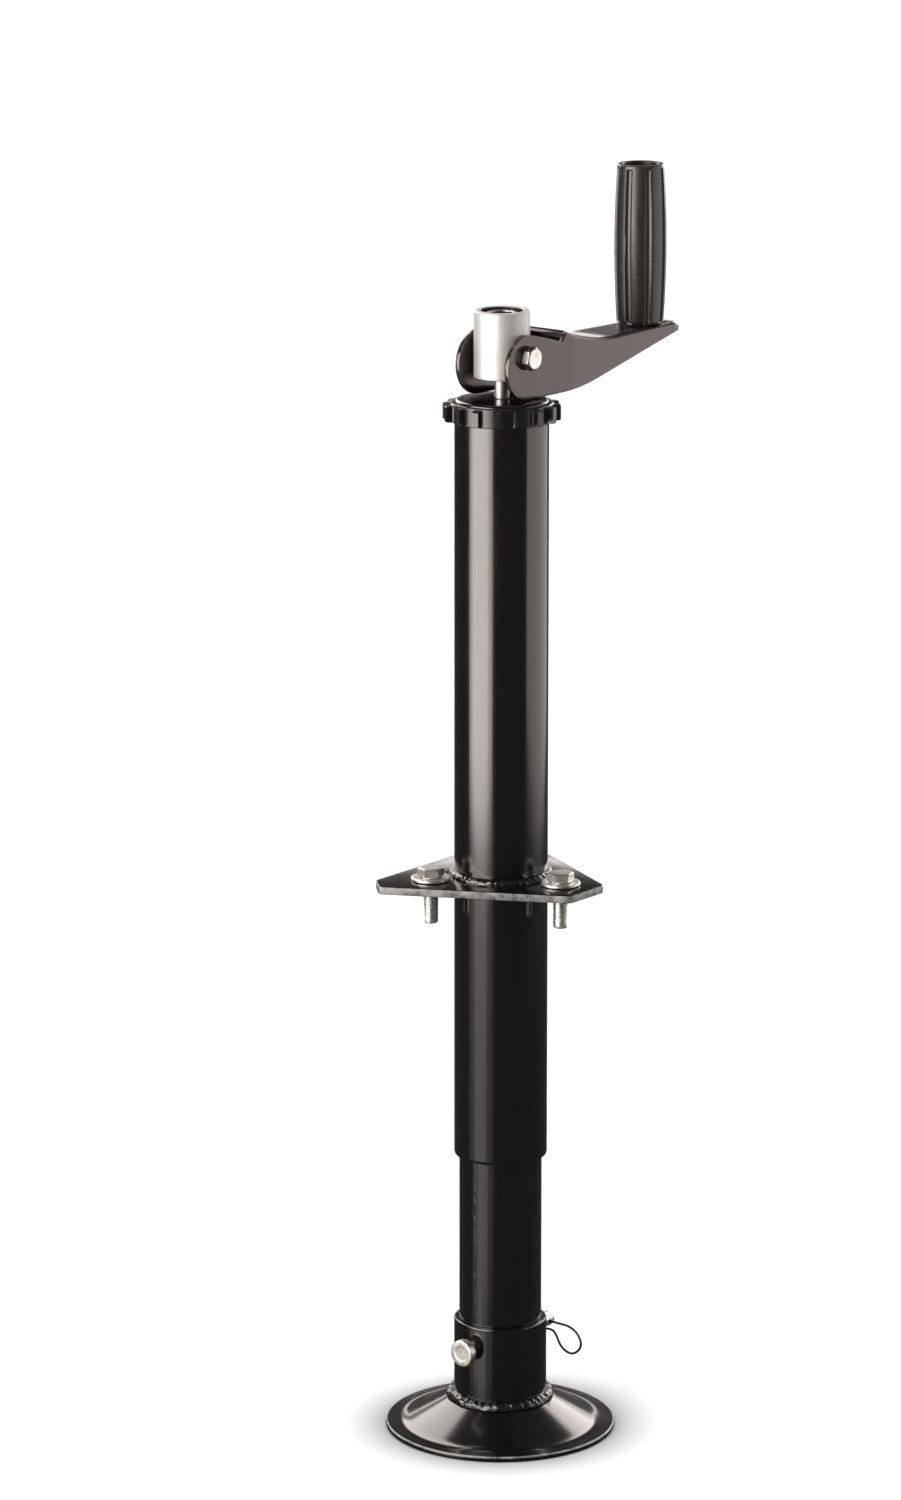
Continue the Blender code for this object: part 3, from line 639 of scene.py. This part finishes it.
def hex_bolt(name, radius, across_flats, head_t, length, pitch, threaded):
    """A bolt along Z with its head above z = 0 and its shank below, threaded from the tip up."""
    collar = 0.5 * MM
    chamfer = 1.3 * MM
    depth = 0.6 * pitch
    head = [(0, head_t)]
    head += [(across_flats * share, head_t) for share in (0.2, 0.36, 0.44)]
    head += [(across_flats, z) for z in levels(head_t - 0.02 * MM, head_t - chamfer, 6)]
    head += [(across_flats, collar), (across_flats * 0.48, collar), (across_flats * 0.48, 0)]
    shank = [(radius, 0), *((radius, z) for z in levels(-0.4 * MM, -length + threaded, 2))]
    turns = int(threaded / pitch * 6)
    screw = [(radius, z) for z in levels(-length + threaded - 0.2 * MM, -length + 0.8 * MM, turns)]
    tip = [(radius - 0.9 * MM, -length), (0, -length)]

    def shape(at, z, turn):
        if at == across_flats:
            cone = across_flats * HEX_CROWN + (head_t - z) * HEX_CHAMFER_SLOPE
            return min(hex_radius(turn, across_flats), cone), z
        if at == radius and z < -length + threaded:
            phase = (z / pitch - turn / (2 * math.pi)) % 1
            begun = eased(z, -length + 0.4 * MM, -length + 1.6 * MM)
            ends = begun * eased(-z, length - threaded, length - threaded + MM)
            return at - depth * abs(2 * phase - 1) * ends - 0.15 * MM * (1 - ends), z
        return at, z

    return turned(name, head + shank + screw + tip, SMALL_ROUND, shape)


def washer(name, outer, inner, thick, soft):
    corners = [(outer, thick, soft), (outer, 0, soft), (inner, 0, 0.3 * MM), (inner, thick, 0.3 * MM)]
    return turned(name, filleted(corners), MEDIUM_ROUND)


def make_flange_bolts():
    for name, degrees in BOLT_DEGREES.items():
        node = "flange_bolt_" + name
        seat = HIGH["bolt_washer_" + name].z + GAP
        head_t = HIGH[node].z - seat
        length = seat - LOW[node].z
        bolt = hex_bolt(node, BOLT_R, BOLT_HEAD_AF, head_t, length, BOLT_PITCH, BOLT_THREADED)
        twist = Matrix.Rotation(math.radians(degrees + BOLT_TWIST_DEGREES), 4, "Z")
        moved(bolt, bolt_spot(name, seat), twist)
        stand_for(bolt, node)
        node = "bolt_washer_" + name
        outer = (HIGH[node].y - LOW[node].y) / 2
        thick = HIGH[node].z - LOW[node].z
        ring = washer(node, outer, BOLT_R + GAP, thick, 0.75 * MM)
        stand_for(moved(ring, bolt_spot(name, LOW[node].z)), node)


# Collar, top plate and hub


def make_collar():
    low, high = LOW["ribbed_collar"], HIGH["ribbed_collar"]
    inner = HIGH["outer_tube"].x + GAP
    edge = 1.1 * MM
    outer = [(COLLAR_R, z) for z in levels(high.z - edge, low.z + 0.6 * MM, 26)]
    top = [(inner, high.z), (COLLAR_R - edge, high.z), (COLLAR_R - 0.3 * edge, high.z - 0.3 * edge)]
    bottom = [(COLLAR_R - 0.3 * MM, low.z + 0.2 * MM), (COLLAR_R - MM, low.z), (inner, low.z)]
    pitch = 2 * math.pi / RIBS
    rise = high.x - COLLAR_R

    def shape(radius, z, turn):
        if radius < COLLAR_R:
            return radius, z
        across = abs((turn % pitch) - pitch / 2) * (COLLAR_R + rise / 2)
        side = 1 - eased(across, RIB_W / 2 - 0.4 * MM, RIB_W / 2 + 0.15 * MM)
        from_end = min(high.z - edge - z, z - low.z - 0.6 * MM) / (0.6 * MM)
        round_end = math.sqrt(max(1 - (1 - min(max(from_end, 0), 1)) ** 2, 0))
        return radius + rise * side * round_end, z

    stand_for(turned("ribbed_collar", top + outer + bottom, RIBS * 26, shape), "ribbed_collar")


def make_top_plate():
    low, high = LOW["top_plate"], HIGH["top_plate"]
    seat = HIGH["outer_tube"].z + GAP
    spigot = HIGH["outer_tube"].x - TUBE_WALL - GAP
    hole = BUSH_R + GAP
    corners = [
        (hole, high.z, 0.4 * MM),
        (high.x - 4.5 * MM, high.z - 0.25 * MM, 2 * MM),
        (high.x, high.z - 0.5 * MM, 2.1 * MM),
        (high.x, seat, 0.3 * MM),
        (spigot, seat, 0),
        (spigot, low.z, 0.5 * MM),
        (hole, low.z, 0.4 * MM),
    ]
    stand_for(turned("top_plate", filleted(corners, 7)), "top_plate")


def make_shaft_bush():
    low, high = LOW["shaft_bush"], HIGH["shaft_bush"]
    corners = [
        (BUSH_R, high.z, 0.4 * MM),
        (BUSH_R, low.z, 0.3 * MM),
        (STUB_R + GAP, low.z, 0.3 * MM),
        (STUB_R + GAP, high.z, 0.4 * MM),
    ]
    stand_for(turned("shaft_bush", filleted(corners), SMALL_ROUND), "shaft_bush")


def make_hub():
    low, high = LOW["hub"], HIGH["hub"]
    stub_top = STUB_TOP + GAP
    corners = [
        (0, HUB_RECESS_FLOOR, 0),
        (HUB_RECESS_R, HUB_RECESS_FLOOR, 0.5 * MM),
        (HUB_RECESS_R, high.z, 0.7 * MM),
        (high.x, high.z, 1.3 * MM),
        (high.x, low.z, 1.1 * MM),
        (STUB_R + GAP, low.z, 0.6 * MM),
        (STUB_R + GAP, stub_top, 0),
        (0, stub_top, 0),
    ]
    hub = turned("hub", filleted(corners))
    mark_r, mark_turn = 15 * MM, math.radians(6)
    cut(
        hub,
        drill(PIVOT_R + GAP, ACROSS_ARM, (0, 0, PIVOT_Z), ALONG_X),
        drill(0.7 * MM, 1.2 * MM, (mark_r * math.cos(mark_turn), mark_r * math.sin(mark_turn), high.z)),
    )
    rim = high.z - 0.5 * MM

    def in_recess(face):
        inside = face.center.xy.length < HUB_RECESS_R + MM
        return inside and HUB_RECESS_FLOOR - MM < face.center.z < rim

    # The recess's walls and floor are marked to be painted near black: painted shade.
    mark(hub, "painted_recess_shade", in_recess)
    stand_for(hub, "hub")


def make_hub_insert():
    low, high = LOW["hub_insert"], HIGH["hub_insert"]
    flange_top = low.z + 3 * MM
    insert = [
        (INSERT_R, high.z, 0.5 * MM),
        (INSERT_R, flange_top, 0),
        (high.x, flange_top, 0.3 * MM),
        (high.x, low.z, 0.3 * MM),
        (INSERT_BORE_R, low.z, 0.3 * MM),
        (INSERT_BORE_R, high.z, 0.7 * MM),
    ]
    piece = turned("hub_insert", filleted(insert))
    rim = high.z - 0.7 * MM
    # The insert below its rim is marked to be painted near black: painted shade in the hub's recess.
    mark(piece, "painted_recess_shade", lambda face: face.center.z < rim)
    stand_for(piece, "hub_insert")


# Crank arm: a pressed channel, open below, with two ears that straddle the hub


def share_of(value, start, end):
    """0 before start, 1 after end, and a straight line between them."""
    return min(max((value - start) / (end - start), 0), 1)


def deck_height(reach):
    """Height of the arm's top over the pivot: falling from the notch, then level, and rolled at the tip."""
    left = 1 - share_of(reach, ARM_NOTCH, ARM_DECK_LEVEL)
    drop = ARM_TIP_DROP * share_of(reach, ARM_TIP_DROP_START, ARM_TIP) ** 2
    return ARM_DECK + (ARM_DECK_HIGH - ARM_DECK) * left**2 - drop


def belly_height(reach):
    """Height of the arm's lower edge: round under the ears, then bent up into a straight line to the tip."""
    if reach < 0:
        return -ARM_EAR_DROP - math.sqrt(max(ARM_EAR_R**2 - reach**2, 0))
    along = max(reach - ARM_BELLY_START, 0)
    bent = min(along, ARM_BELLY_BEND)
    rise = ARM_BELLY_SLOPE * (bent**2 / (2 * ARM_BELLY_BEND) + along - bent)
    return min(-ARM_EAR_R - ARM_EAR_DROP + rise, ARM_BELLY_TIP)


def ear_height(reach):
    """Top of an ear: a half circle, a slope down to the notch, and up to the deck's front edge."""
    crown, dip = ARM_EAR_R - ARM_EAR_DROP, 5.4 * MM
    dip_at = ARM_NOTCH - 3.5 * MM
    if reach < 0:
        return -ARM_EAR_DROP + math.sqrt(max(ARM_EAR_R**2 - reach**2, 0))
    if reach < dip_at:
        return crown + (dip - crown) * (reach / dip_at) ** 1.25
    return dip + (ARM_DECK_HIGH - ARM_BEND - dip) * (reach - dip_at) / (ARM_NOTCH - dip_at)


def arm_rows():
    """(half width, reach, normal, over the deck) down one side of the arm, from the ears to the tip."""
    slope = (ARM_HALF - ARM_TIP_HALF) / (ARM_TAPER_END - ARM_TAPER_START)
    rows = [(ARM_HALF, -ARM_EAR_R * math.cos(turn), (1, 0), False) for turn in levels(0, math.pi / 2, 20)]
    rows += [(ARM_HALF, reach, (1, 0), False) for reach in levels(1.5 * MM, ARM_NOTCH - 3.6 * MM, 12)]
    rows += [(ARM_HALF, ARM_NOTCH - 3.4 * MM, (1, 0), False), (ARM_HALF, ARM_NOTCH - 1.5 * MM, (1, 0), False)]
    for reach in levels(ARM_NOTCH, ARM_TAPER_END, 46):
        half = ARM_HALF - slope * max(reach - ARM_TAPER_START, 0)
        lean = slope * eased(reach, ARM_TAPER_START - 3 * MM, ARM_TAPER_START + 3 * MM)
        rows.append((half, reach, (1, lean), True))
    long = ARM_TIP - ARM_TAPER_END
    for turn in levels(math.pi / 40, math.pi / 2, 19):
        x, y = math.cos(turn), math.sin(turn)
        rows.append((ARM_TIP_HALF * x, ARM_TAPER_END + long * y, (x / ARM_TIP_HALF, y / long), True))
    return rows


def arm_columns(half, reach, normal, deck):
    """The points up one side: the wall, and over the deck the bend too."""
    out = Vector(normal).normalized()
    top = deck_height(reach) - ARM_BEND if deck else ear_height(reach)
    points = [Vector((half, reach, z)) for z in levels(belly_height(reach), top, ARM_WALL_STEPS)]
    if deck:
        for turn in levels(math.pi / 16, math.pi / 2, 7):
            inward = ARM_BEND * (1 - math.cos(turn))
            at = Vector((half, reach)) - out * inward
            points.append(Vector((max(at.x, 0), at.y, top + ARM_BEND * math.sin(turn))))
    return points


def make_arm():
    bm = bmesh.new()
    sides = {1: [], -1: []}
    for row in arm_rows():
        points = arm_columns(*row)
        for side, columns in sides.items():
            columns.append([bm.verts.new((side * x, y, z)) for x, y, z in points])
    for side, columns in sides.items():
        for here, ahead in zip(columns, columns[1:]):
            for i in range(min(len(here), len(ahead)) - 1):
                corners = (here[i], ahead[i], ahead[i + 1], here[i + 1])
                bm.faces.new(corners if side > 0 else corners[::-1])
    decks = [pair for pair in zip(sides[1], sides[-1]) if len(pair[0]) > ARM_WALL_STEPS + 1]
    across = []
    for right, left in decks:
        start, end = right[-1].co, left[-1].co
        middle = [bm.verts.new(start.lerp(end, i / ARM_DECK_STRIPS)) for i in range(1, ARM_DECK_STRIPS)]
        across.append([right[-1], *middle, left[-1]])
    for here, ahead in zip(across, across[1:]):
        for i in range(ARM_DECK_STRIPS):
            bm.faces.new((here[i], ahead[i], ahead[i + 1], here[i + 1]))
    bmesh.ops.remove_doubles(bm, verts=bm.verts, dist=2e-6)
    arm = moved(object_from("crank_arm", bm), (0, 0, PIVOT_Z))
    solid = arm.modifiers.new("Solidify", "SOLIDIFY")
    solid.thickness = ARM_T
    solid.offset = -1
    solid.use_even_offset = True
    add_bevel(arm, 0.4 * MM, 2, 60)
    baked(arm)
    cut(
        arm,
        drill(PIVOT_R + GAP, ACROSS_ARM, (0, 0, PIVOT_Z), ALONG_X),
        drill(SPINDLE_NECK_R + GAP, 8 * MM, (0, GRIP_REACH, PIVOT_Z)),
    )
    stand_for(arm, "crank_arm")


def make_pivot_bolt():
    low, high = LOW["pivot_bolt"], HIGH["pivot_bolt"]
    seat = ARM_HALF + GAP
    head_t, length = high.x - seat, seat - low.x
    bolt = hex_bolt("pivot_bolt", PIVOT_R, PIVOT_HEAD_AF, head_t, length, PIVOT_PITCH, PIVOT_THREADED)
    tilt = ALONG_X @ Matrix.Rotation(math.radians(PIVOT_TWIST_DEGREES), 4, "Z")
    stand_for(moved(bolt, (seat, 0, PIVOT_Z), tilt), "pivot_bolt")


def make_pivot_washer():
    low, high = LOW["pivot_washer"], HIGH["pivot_washer"]
    ring = washer("pivot_washer", (high.y - low.y) / 2, PIVOT_R + GAP, high.x - low.x, 0.5 * MM)
    stand_for(moved(ring, (low.x, 0, PIVOT_Z), ALONG_X), "pivot_washer")


def make_pivot_nut():
    low, high = LOW["pivot_nut"], HIGH["pivot_nut"]
    thick = high.x - low.x
    bore = PIVOT_R + GAP
    crown = PIVOT_HEAD_AF * HEX_CROWN
    outline = [(bore, thick - 0.5 * MM), (bore + 0.5 * MM, thick), (crown, thick)]
    outline += [(PIVOT_HEAD_AF, z) for z in levels(thick, 0, 14)]
    outline += [(crown, 0), (bore + 0.5 * MM, 0), (bore, 0.5 * MM)]

    def shape(at, z, turn):
        if at < PIVOT_HEAD_AF:
            return at, z
        cone = crown + min(z, thick - z) * HEX_CHAMFER_SLOPE
        return min(hex_radius(turn, PIVOT_HEAD_AF), cone), z

    nut = turned("pivot_nut", outline, SMALL_ROUND, shape)
    stand_for(moved(nut, (low.x, 0, PIVOT_Z), ALONG_X), "pivot_nut")


# Spindle and grip


def make_spindle():
    low, high = LOW["grip_spindle"], HIGH["grip_spindle"]
    deck, under = PIVOT_Z + ARM_DECK, PIVOT_Z + ARM_DECK - ARM_T
    rivet = 8 * MM
    corners = [
        (0, high.z, 0),
        (SPINDLE_R, high.z, 0.8 * MM),
        (SPINDLE_R, deck + GAP, 0),
        (SPINDLE_NECK_R, deck + GAP, 0),
        (SPINDLE_NECK_R, under - GAP, 0),
        (rivet, under - GAP, 0.3 * MM),
        (rivet - 0.6 * MM, low.z + 0.5 * MM, 1.1 * MM),
        (0, low.z, 0),
    ]
    spindle = turned("grip_spindle", filleted(corners), SMALL_ROUND)
    stand_for(moved(spindle, (0, GRIP_REACH, 0)), "grip_spindle")


def make_grip_retainer():
    low, high = LOW["grip_retainer"], HIGH["grip_retainer"]
    outer = (high.x - low.x) / 2
    ring = washer("grip_retainer", outer, SPINDLE_R + GAP, high.z - low.z, 0.4 * MM)
    stand_for(moved(ring, (0, GRIP_REACH, low.z)), "grip_retainer")


def make_grip():
    low, high = LOW["grip"], HIGH["grip"]
    length = high.z - low.z
    end_r, mid_r = 14.4 * MM, 16.1 * MM
    bore, mouth, mouth_depth = 6.4 * MM, 10.8 * MM, 21 * MM
    outer = [(mid_r, low.z + length * share) for share in levels(0.985, 0.015, 110)]
    shelf_z = high.z - mouth_depth
    top = filleted([(mouth, shelf_z, 0), (mouth, high.z, 0.9 * MM), (end_r, high.z, 1.0 * MM)], 6)
    shelf = [(bore, shelf_z), (mouth - 0.1 * MM, shelf_z)]
    foot = [(end_r - 0.3 * MM, low.z + 0.4 * MM), (end_r - 0.9 * MM, low.z), (bore, low.z)]
    pitch = 2 * math.pi / FLUTES
    flute_half, flute_depth = 2.1 * MM, 1.5 * MM

    def shape(radius, z, turn):
        if radius != mid_r:
            return radius, z
        share = (z - low.z) / length
        barrel = end_r + (mid_r - end_r) * (1 - (2 * share - 1) ** 2)
        across = abs(((turn / pitch - FLUTE_PHASE) % 1 + 0.5) % 1 - 0.5) * pitch * barrel
        groove = math.sqrt(max(1 - (across / flute_half) ** 2, 0))
        ends = eased(share, 0.01, 0.02) * (1 - eased(share, 0.965, 0.98))
        parting = 0.12 * MM * math.exp(-(((share - 0.49) * length / (0.35 * MM)) ** 2))
        return barrel - flute_depth * groove * ends - parting, z

    grip = turned("grip", shelf + top[1:-1] + outer + foot, FLUTES * 40, shape)
    stand_for(moved(grip, (0, GRIP_REACH, 0)), "grip")


# Foot, its weld, its pin and the clip


def make_foot_sleeve():
    high = HIGH["foot_sleeve"]
    outer, bore, floor = high.x, HIGH["inner_tube"].x + GAP, 4 * MM
    corners = [
        (0, floor, 0),
        (bore, floor, 0.5 * MM),
        (bore, high.z, 0.5 * MM),
        (outer, high.z, 1.0 * MM),
        (outer, 0, 0.5 * MM),
        (0, 0, 0),
    ]
    sleeve = turned("foot_sleeve", filleted(corners))
    stand_for(cut(sleeve, drill(PIN_R + GAP, ACROSS_TUBES, (0, 0, PIN_Z), ALONG_Y)), "foot_sleeve")


def make_foot_plate():
    rim, crown = HIGH["foot_plate"].x, HIGH["foot_plate"].z
    thick, bend, inside = 3.4 * MM, 60 * MM, HIGH["foot_sleeve"].x + GAP
    corners = [
        (inside, crown, 0),
        (inside + 3 * MM, crown - 0.7 * MM, 2.0 * MM),
        (bend, thick, 4.5 * MM),
        (rim, thick, 1.2 * MM),
        (rim, 0, 1.2 * MM),
        (bend + 1.5 * MM, 0, 4 * MM),
        (inside + 3 * MM, crown - thick - 1.2 * MM, 2 * MM),
        (inside, crown - thick - 0.4 * MM, 0),
    ]
    nick_turn, nick_half = math.radians(-14), 0.9 * MM

    def shape(radius, z, turn):
        away = radius / rim
        off_floor = 1 if z > 1.5 * MM else 0
        waviness = 0.12 * MM * lumpy(radius, z, turn, 28, 5.0) * off_floor
        along = (turn - nick_turn + math.pi) % (2 * math.pi) - math.pi
        nick = 0.6 * MM * math.exp(-((along * rim / nick_half) ** 2)) * eased(away, 0.97, 1)
        return radius - nick - 0.05 * MM * away, z + waviness - nick * 0.3 * off_floor

    plate = turned("foot_plate", filleted(corners, 8), 240, shape)
    # The rim's top edge is painted paler: thin paint on the cut edge, and a painted highlight.
    mark(plate, "thin_paint_and_highlight", lambda face: face.center.xy.length > rim - MM and face.center.z > thick * 0.7)
    stand_for(plate, "foot_plate")


def make_foot_weld():
    inside = HIGH["foot_sleeve"].x + WELD_GAP
    bead = weld_bead("foot_weld", inside, HIGH["foot_plate"].z - 0.6 * MM, 4.6 * MM, 40, 11.0)
    stand_for(bead, "foot_weld")


def make_foot_pin():
    low, high = LOW["foot_pin"], HIGH["foot_pin"]
    head_r = (high.z - low.z) / 2
    face, neck, tail = low.y, low.y + PIN_HEAD_T, high.y
    dimple_r, dimple = 4.4 * MM, 0.12 * MM
    corners = [
        (0, tail, 0),
        (PIN_R - 1.5 * MM, tail, 0.7 * MM),
        (PIN_R, tail - 2.2 * MM, 1.2 * MM),
        (PIN_R, neck, 0.4 * MM),
        (head_r, neck, 0.6 * MM),
        (head_r, face, 0.9 * MM),
        (dimple_r + 0.4 * MM, face, 0.3 * MM),
        (dimple_r, face + dimple, 0.2 * MM),
        (0, face + dimple, 0),
    ]
    pin = moved(turned("foot_pin", filleted(corners), MEDIUM_ROUND), (0, 0, PIN_Z), ALONG_Y)
    cut(pin, drill(CLIP_WIRE_R + GAP, 2 * PIN_R, (0, CLIP_Y, PIN_Z), ALONG_X))
    stand_for(pin, "foot_pin")


def clip_controls():
    """The clip's leg through the pin, its teardrop loop, and the leg that hugs the pin from below, in mm."""
    leg = [(-11.0, 0), (6.0, 0), (12.0, -0.1)]
    loop = [
        (19.8, -0.5),
        (26.0, -3.4),
        (29.4, -9.0),
        (27.7, -14.2),
        (22.3, -17.6),
        (16.7, -16.5),
        (12.9, -13.4),
        (10.4, -8.9),
    ]
    hug = [(7.6, -5.9), (3.6, -5.4), (0, -6.0), (-3.2, -5.7), (-7.0, -7.4)]
    return [Vector((x * MM, CLIP_Y, PIN_Z + z * MM)) for x, z in leg + loop + hug]


def smooth_path(controls, steps):
    """A Catmull-Rom curve through the control points."""
    ends = [controls[0], *controls, controls[-1]]
    path = []
    for before, start, end, after in zip(ends, ends[1:], ends[2:], ends[3:]):
        square = 2 * before - 5 * start + 4 * end - after
        cube = 3 * start - before - 3 * end + after
        for step in range(steps):
            t = step / steps
            path.append(0.5 * (2 * start + (end - before) * t + square * t * t + cube * t**3))
    return [*path, controls[-1]]


def make_clip():
    curve = bpy.data.curves.new("pin_clip", "CURVE")
    curve.dimensions = "3D"
    curve.bevel_depth = CLIP_WIRE_R
    curve.bevel_resolution = 4
    curve.use_fill_caps = True
    path = smooth_path(clip_controls(), 8)
    spline = curve.splines.new("POLY")
    spline.points.add(len(path) - 1)
    for point, position in zip(spline.points, path):
        point.co = (*position, 1)
    clip = bpy.data.objects.new("pin_clip", curve)
    bpy.context.scene.collection.objects.link(clip)
    bpy.context.view_layer.update()
    graph = bpy.context.evaluated_depsgraph_get()
    mesh = bpy.data.meshes.new_from_object(clip.evaluated_get(graph))
    bpy.data.objects.remove(clip, do_unlink=True)
    smooth_by_angle(mesh, 50)
    solid = bpy.data.objects.new("pin_clip", mesh)
    bpy.context.scene.collection.objects.link(solid)
    stand_for(solid, "pin_clip")


def finish_cad_nodes():
    """Every CAD node takes its slot's finish. The screw and the works inside have no finer piece."""
    for name, obj in frame["nodes"].items():
        obj.data.materials.clear()
        obj.data.materials.append(FINISHES[SLOT_OF[name]])


# Stage


def make_floor():
    """A pale floor with a painted soft shadow round the foot, not seen in reflections."""
    bm = bmesh.new()
    bmesh.ops.create_grid(bm, x_segments=1, y_segments=1, size=40)
    floor = object_from("floor", bm)
    rim = HIGH["foot_plate"].x
    material, tree, shader = new_material("pale_floor", (0.86, 0.86, 0.86), 0.7, Specular_IOR_Level=0.0)
    faint = speckle(tree, 3, 3)
    pale = mixed(tree, between(tree, faint, 0.3, 0.7, 0, 1), grey(0.85), grey(0.88))
    place = add(tree, "ShaderNodeTexCoord").outputs["Object"]
    flat = add(tree, "ShaderNodeVectorMath", {0: place}, operation="LENGTH").outputs["Value"]
    # Painted shadow: the floor's colour darkens toward the foot's rim.
    painted_shadow_reach = between(tree, flat, rim, rim + 45 * MM, 1, 0)
    shade = calculated(tree, "MULTIPLY", calculated(tree, "POWER", painted_shadow_reach, 2.0), 0.62)
    connect(tree, shader, Base_Color=mixed(tree, shade, pale, grey(0.12)))
    floor.data.materials.append(material)
    floor.visible_glossy = False


PANEL_COLOUR = (1, 0.93, 0.89)


def make_panel(name, start, end, distance, bottom, top, radiance):
    """An upright soft box facing the jack, seen only in reflections.

    start and end are the directions of its edges from the jack's axis, in degrees from +X. distance,
    bottom and top are in metres.
    """
    half = math.radians(end - start) / 2
    turn = math.radians(start + end) / 2
    light = bpy.data.lights.new(name, "AREA")
    light.shape = "RECTANGLE"
    light.size = 2 * distance * math.tan(half)
    light.size_y = top - bottom
    light.energy = radiance * math.pi * light.size * light.size_y
    light.color = PANEL_COLOUR
    panel = bpy.data.objects.new(name, light)
    out = Vector((math.cos(turn), math.sin(turn), 0))
    panel.location = out * distance + Vector((0, 0, (bottom + top) / 2))
    panel.rotation_mode = "QUATERNION"
    panel.rotation_quaternion = (-out).to_track_quat("-Z", "Y")
    panel.visible_camera = False
    panel.visible_diffuse = False
    bpy.context.scene.collection.objects.link(panel)


def make_lamp(name, kind, toward, strength, **settings):
    """A lamp that shines from a direction and isn't seen in reflections."""
    light = bpy.data.lights.new(name, kind)
    light.energy = strength
    for key, value in settings.items():
        setattr(light, key, value)
    lamp = bpy.data.objects.new(name, light)
    away = Vector(toward)
    lamp.location = away
    lamp.rotation_mode = "QUATERNION"
    lamp.rotation_quaternion = (-away).to_track_quat("-Z", "Y")
    lamp.visible_camera = False
    lamp.visible_glossy = False
    bpy.context.scene.collection.objects.link(lamp)


def make_lights():
    """The left and right boxes make the tubes' bright bands; the ones behind light the deck and the foot."""
    make_panel("left_box", -135, -74, 1.5, -0.02, 1.5, 4.2)
    make_panel("left_core", -126, -84, 1.6, -0.02, 1.5, 2.6)
    make_panel("left_low_box", -135, -72, 1.5, -0.6, -0.03, 0.3)
    make_panel("left_low_core", -120, -88, 1.6, -0.6, -0.03, 0.65)
    make_panel("right_box", 12, 94, 1.7, -0.05, 1.2, 1.35)
    make_panel("backdrop", 84, 168, 4.0, 0.76, 1.02, 3.4)
    make_panel("back_left_box", 140, 182, 2.0, 0.72, 2.8, 4.3)
    make_panel("back_right_box", 84, 112, 2.0, 0.56, 1.8, 5.0)
    make_lamp("overhead", "SUN", (0.05, 0.1, 3), 3.85, angle=math.radians(75))
    make_lamp("left_fill", "AREA", (-0.4, -2.2, 1.2), 22, size=1.4, color=(1, 0.95, 0.9))


def make_world():
    """A dim studio, a little less dark near the horizon."""
    world = bpy.data.worlds.new("studio")
    world.use_nodes = True
    tree = world.node_tree
    direction = add(tree, "ShaderNodeTexCoord").outputs["Generated"]
    height = add(tree, "ShaderNodeSeparateXYZ", {"Vector": direction}).outputs["Z"]
    away = calculated(tree, "ABSOLUTE", height, 0.0)
    strength = between(tree, away, 0.02, 0.12, 0.14, 0.07)
    background = tree.nodes["Background"]
    background.inputs["Color"].default_value = (1, 0.97, 0.94, 1)
    tree.links.new(strength, background.inputs["Strength"])
    bpy.context.scene.world = world


# The photograph's view: from over the right-hand side of the coupler, looking a little down
CAMERA_AZIMUTH = math.radians(38.17)
CAMERA_DISTANCE = 3.5
CAMERA_HEIGHT = 1.2736
CAMERA_PITCH = math.radians(11.21)
CAMERA_YAW = math.radians(0.505)
CAMERA_LENS_MM = 141.92
CAMERA_SHIFT = -0.161


def make_camera():
    data = bpy.data.cameras.new("camera")
    data.sensor_width = 36
    data.lens = CAMERA_LENS_MM
    data.shift_y = CAMERA_SHIFT
    camera = bpy.data.objects.new("camera", data)
    bpy.context.scene.collection.objects.link(camera)
    at_jack = Vector((-math.sin(CAMERA_AZIMUTH), math.cos(CAMERA_AZIMUTH), 0))
    camera.location = at_jack * -CAMERA_DISTANCE + Vector((0, 0, CAMERA_HEIGHT))
    aim = Matrix.Rotation(CAMERA_YAW, 3, "Z") @ at_jack
    aim = aim * math.cos(CAMERA_PITCH) + Vector((0, 0, -math.sin(CAMERA_PITCH)))
    camera.rotation_mode = "QUATERNION"
    camera.rotation_quaternion = aim.to_track_quat("-Z", "Y")
    bpy.context.scene.camera = camera


def main():
    finish_cad_nodes()
    make_outer_tube()
    make_inner_tube()
    make_flange()
    make_plate_weld()
    make_flange_bolts()
    make_collar()
    make_top_plate()
    make_shaft_bush()
    make_hub()
    make_hub_insert()
    make_arm()
    make_pivot_bolt()
    make_pivot_washer()
    make_pivot_nut()
    make_spindle()
    make_grip_retainer()
    make_grip()
    make_foot_sleeve()
    make_foot_plate()
    make_foot_weld()
    make_foot_pin()
    make_clip()
    make_floor()
    make_lights()
    make_world()
    make_camera()
    bpy.context.scene.view_settings.view_transform = "Standard"


main()
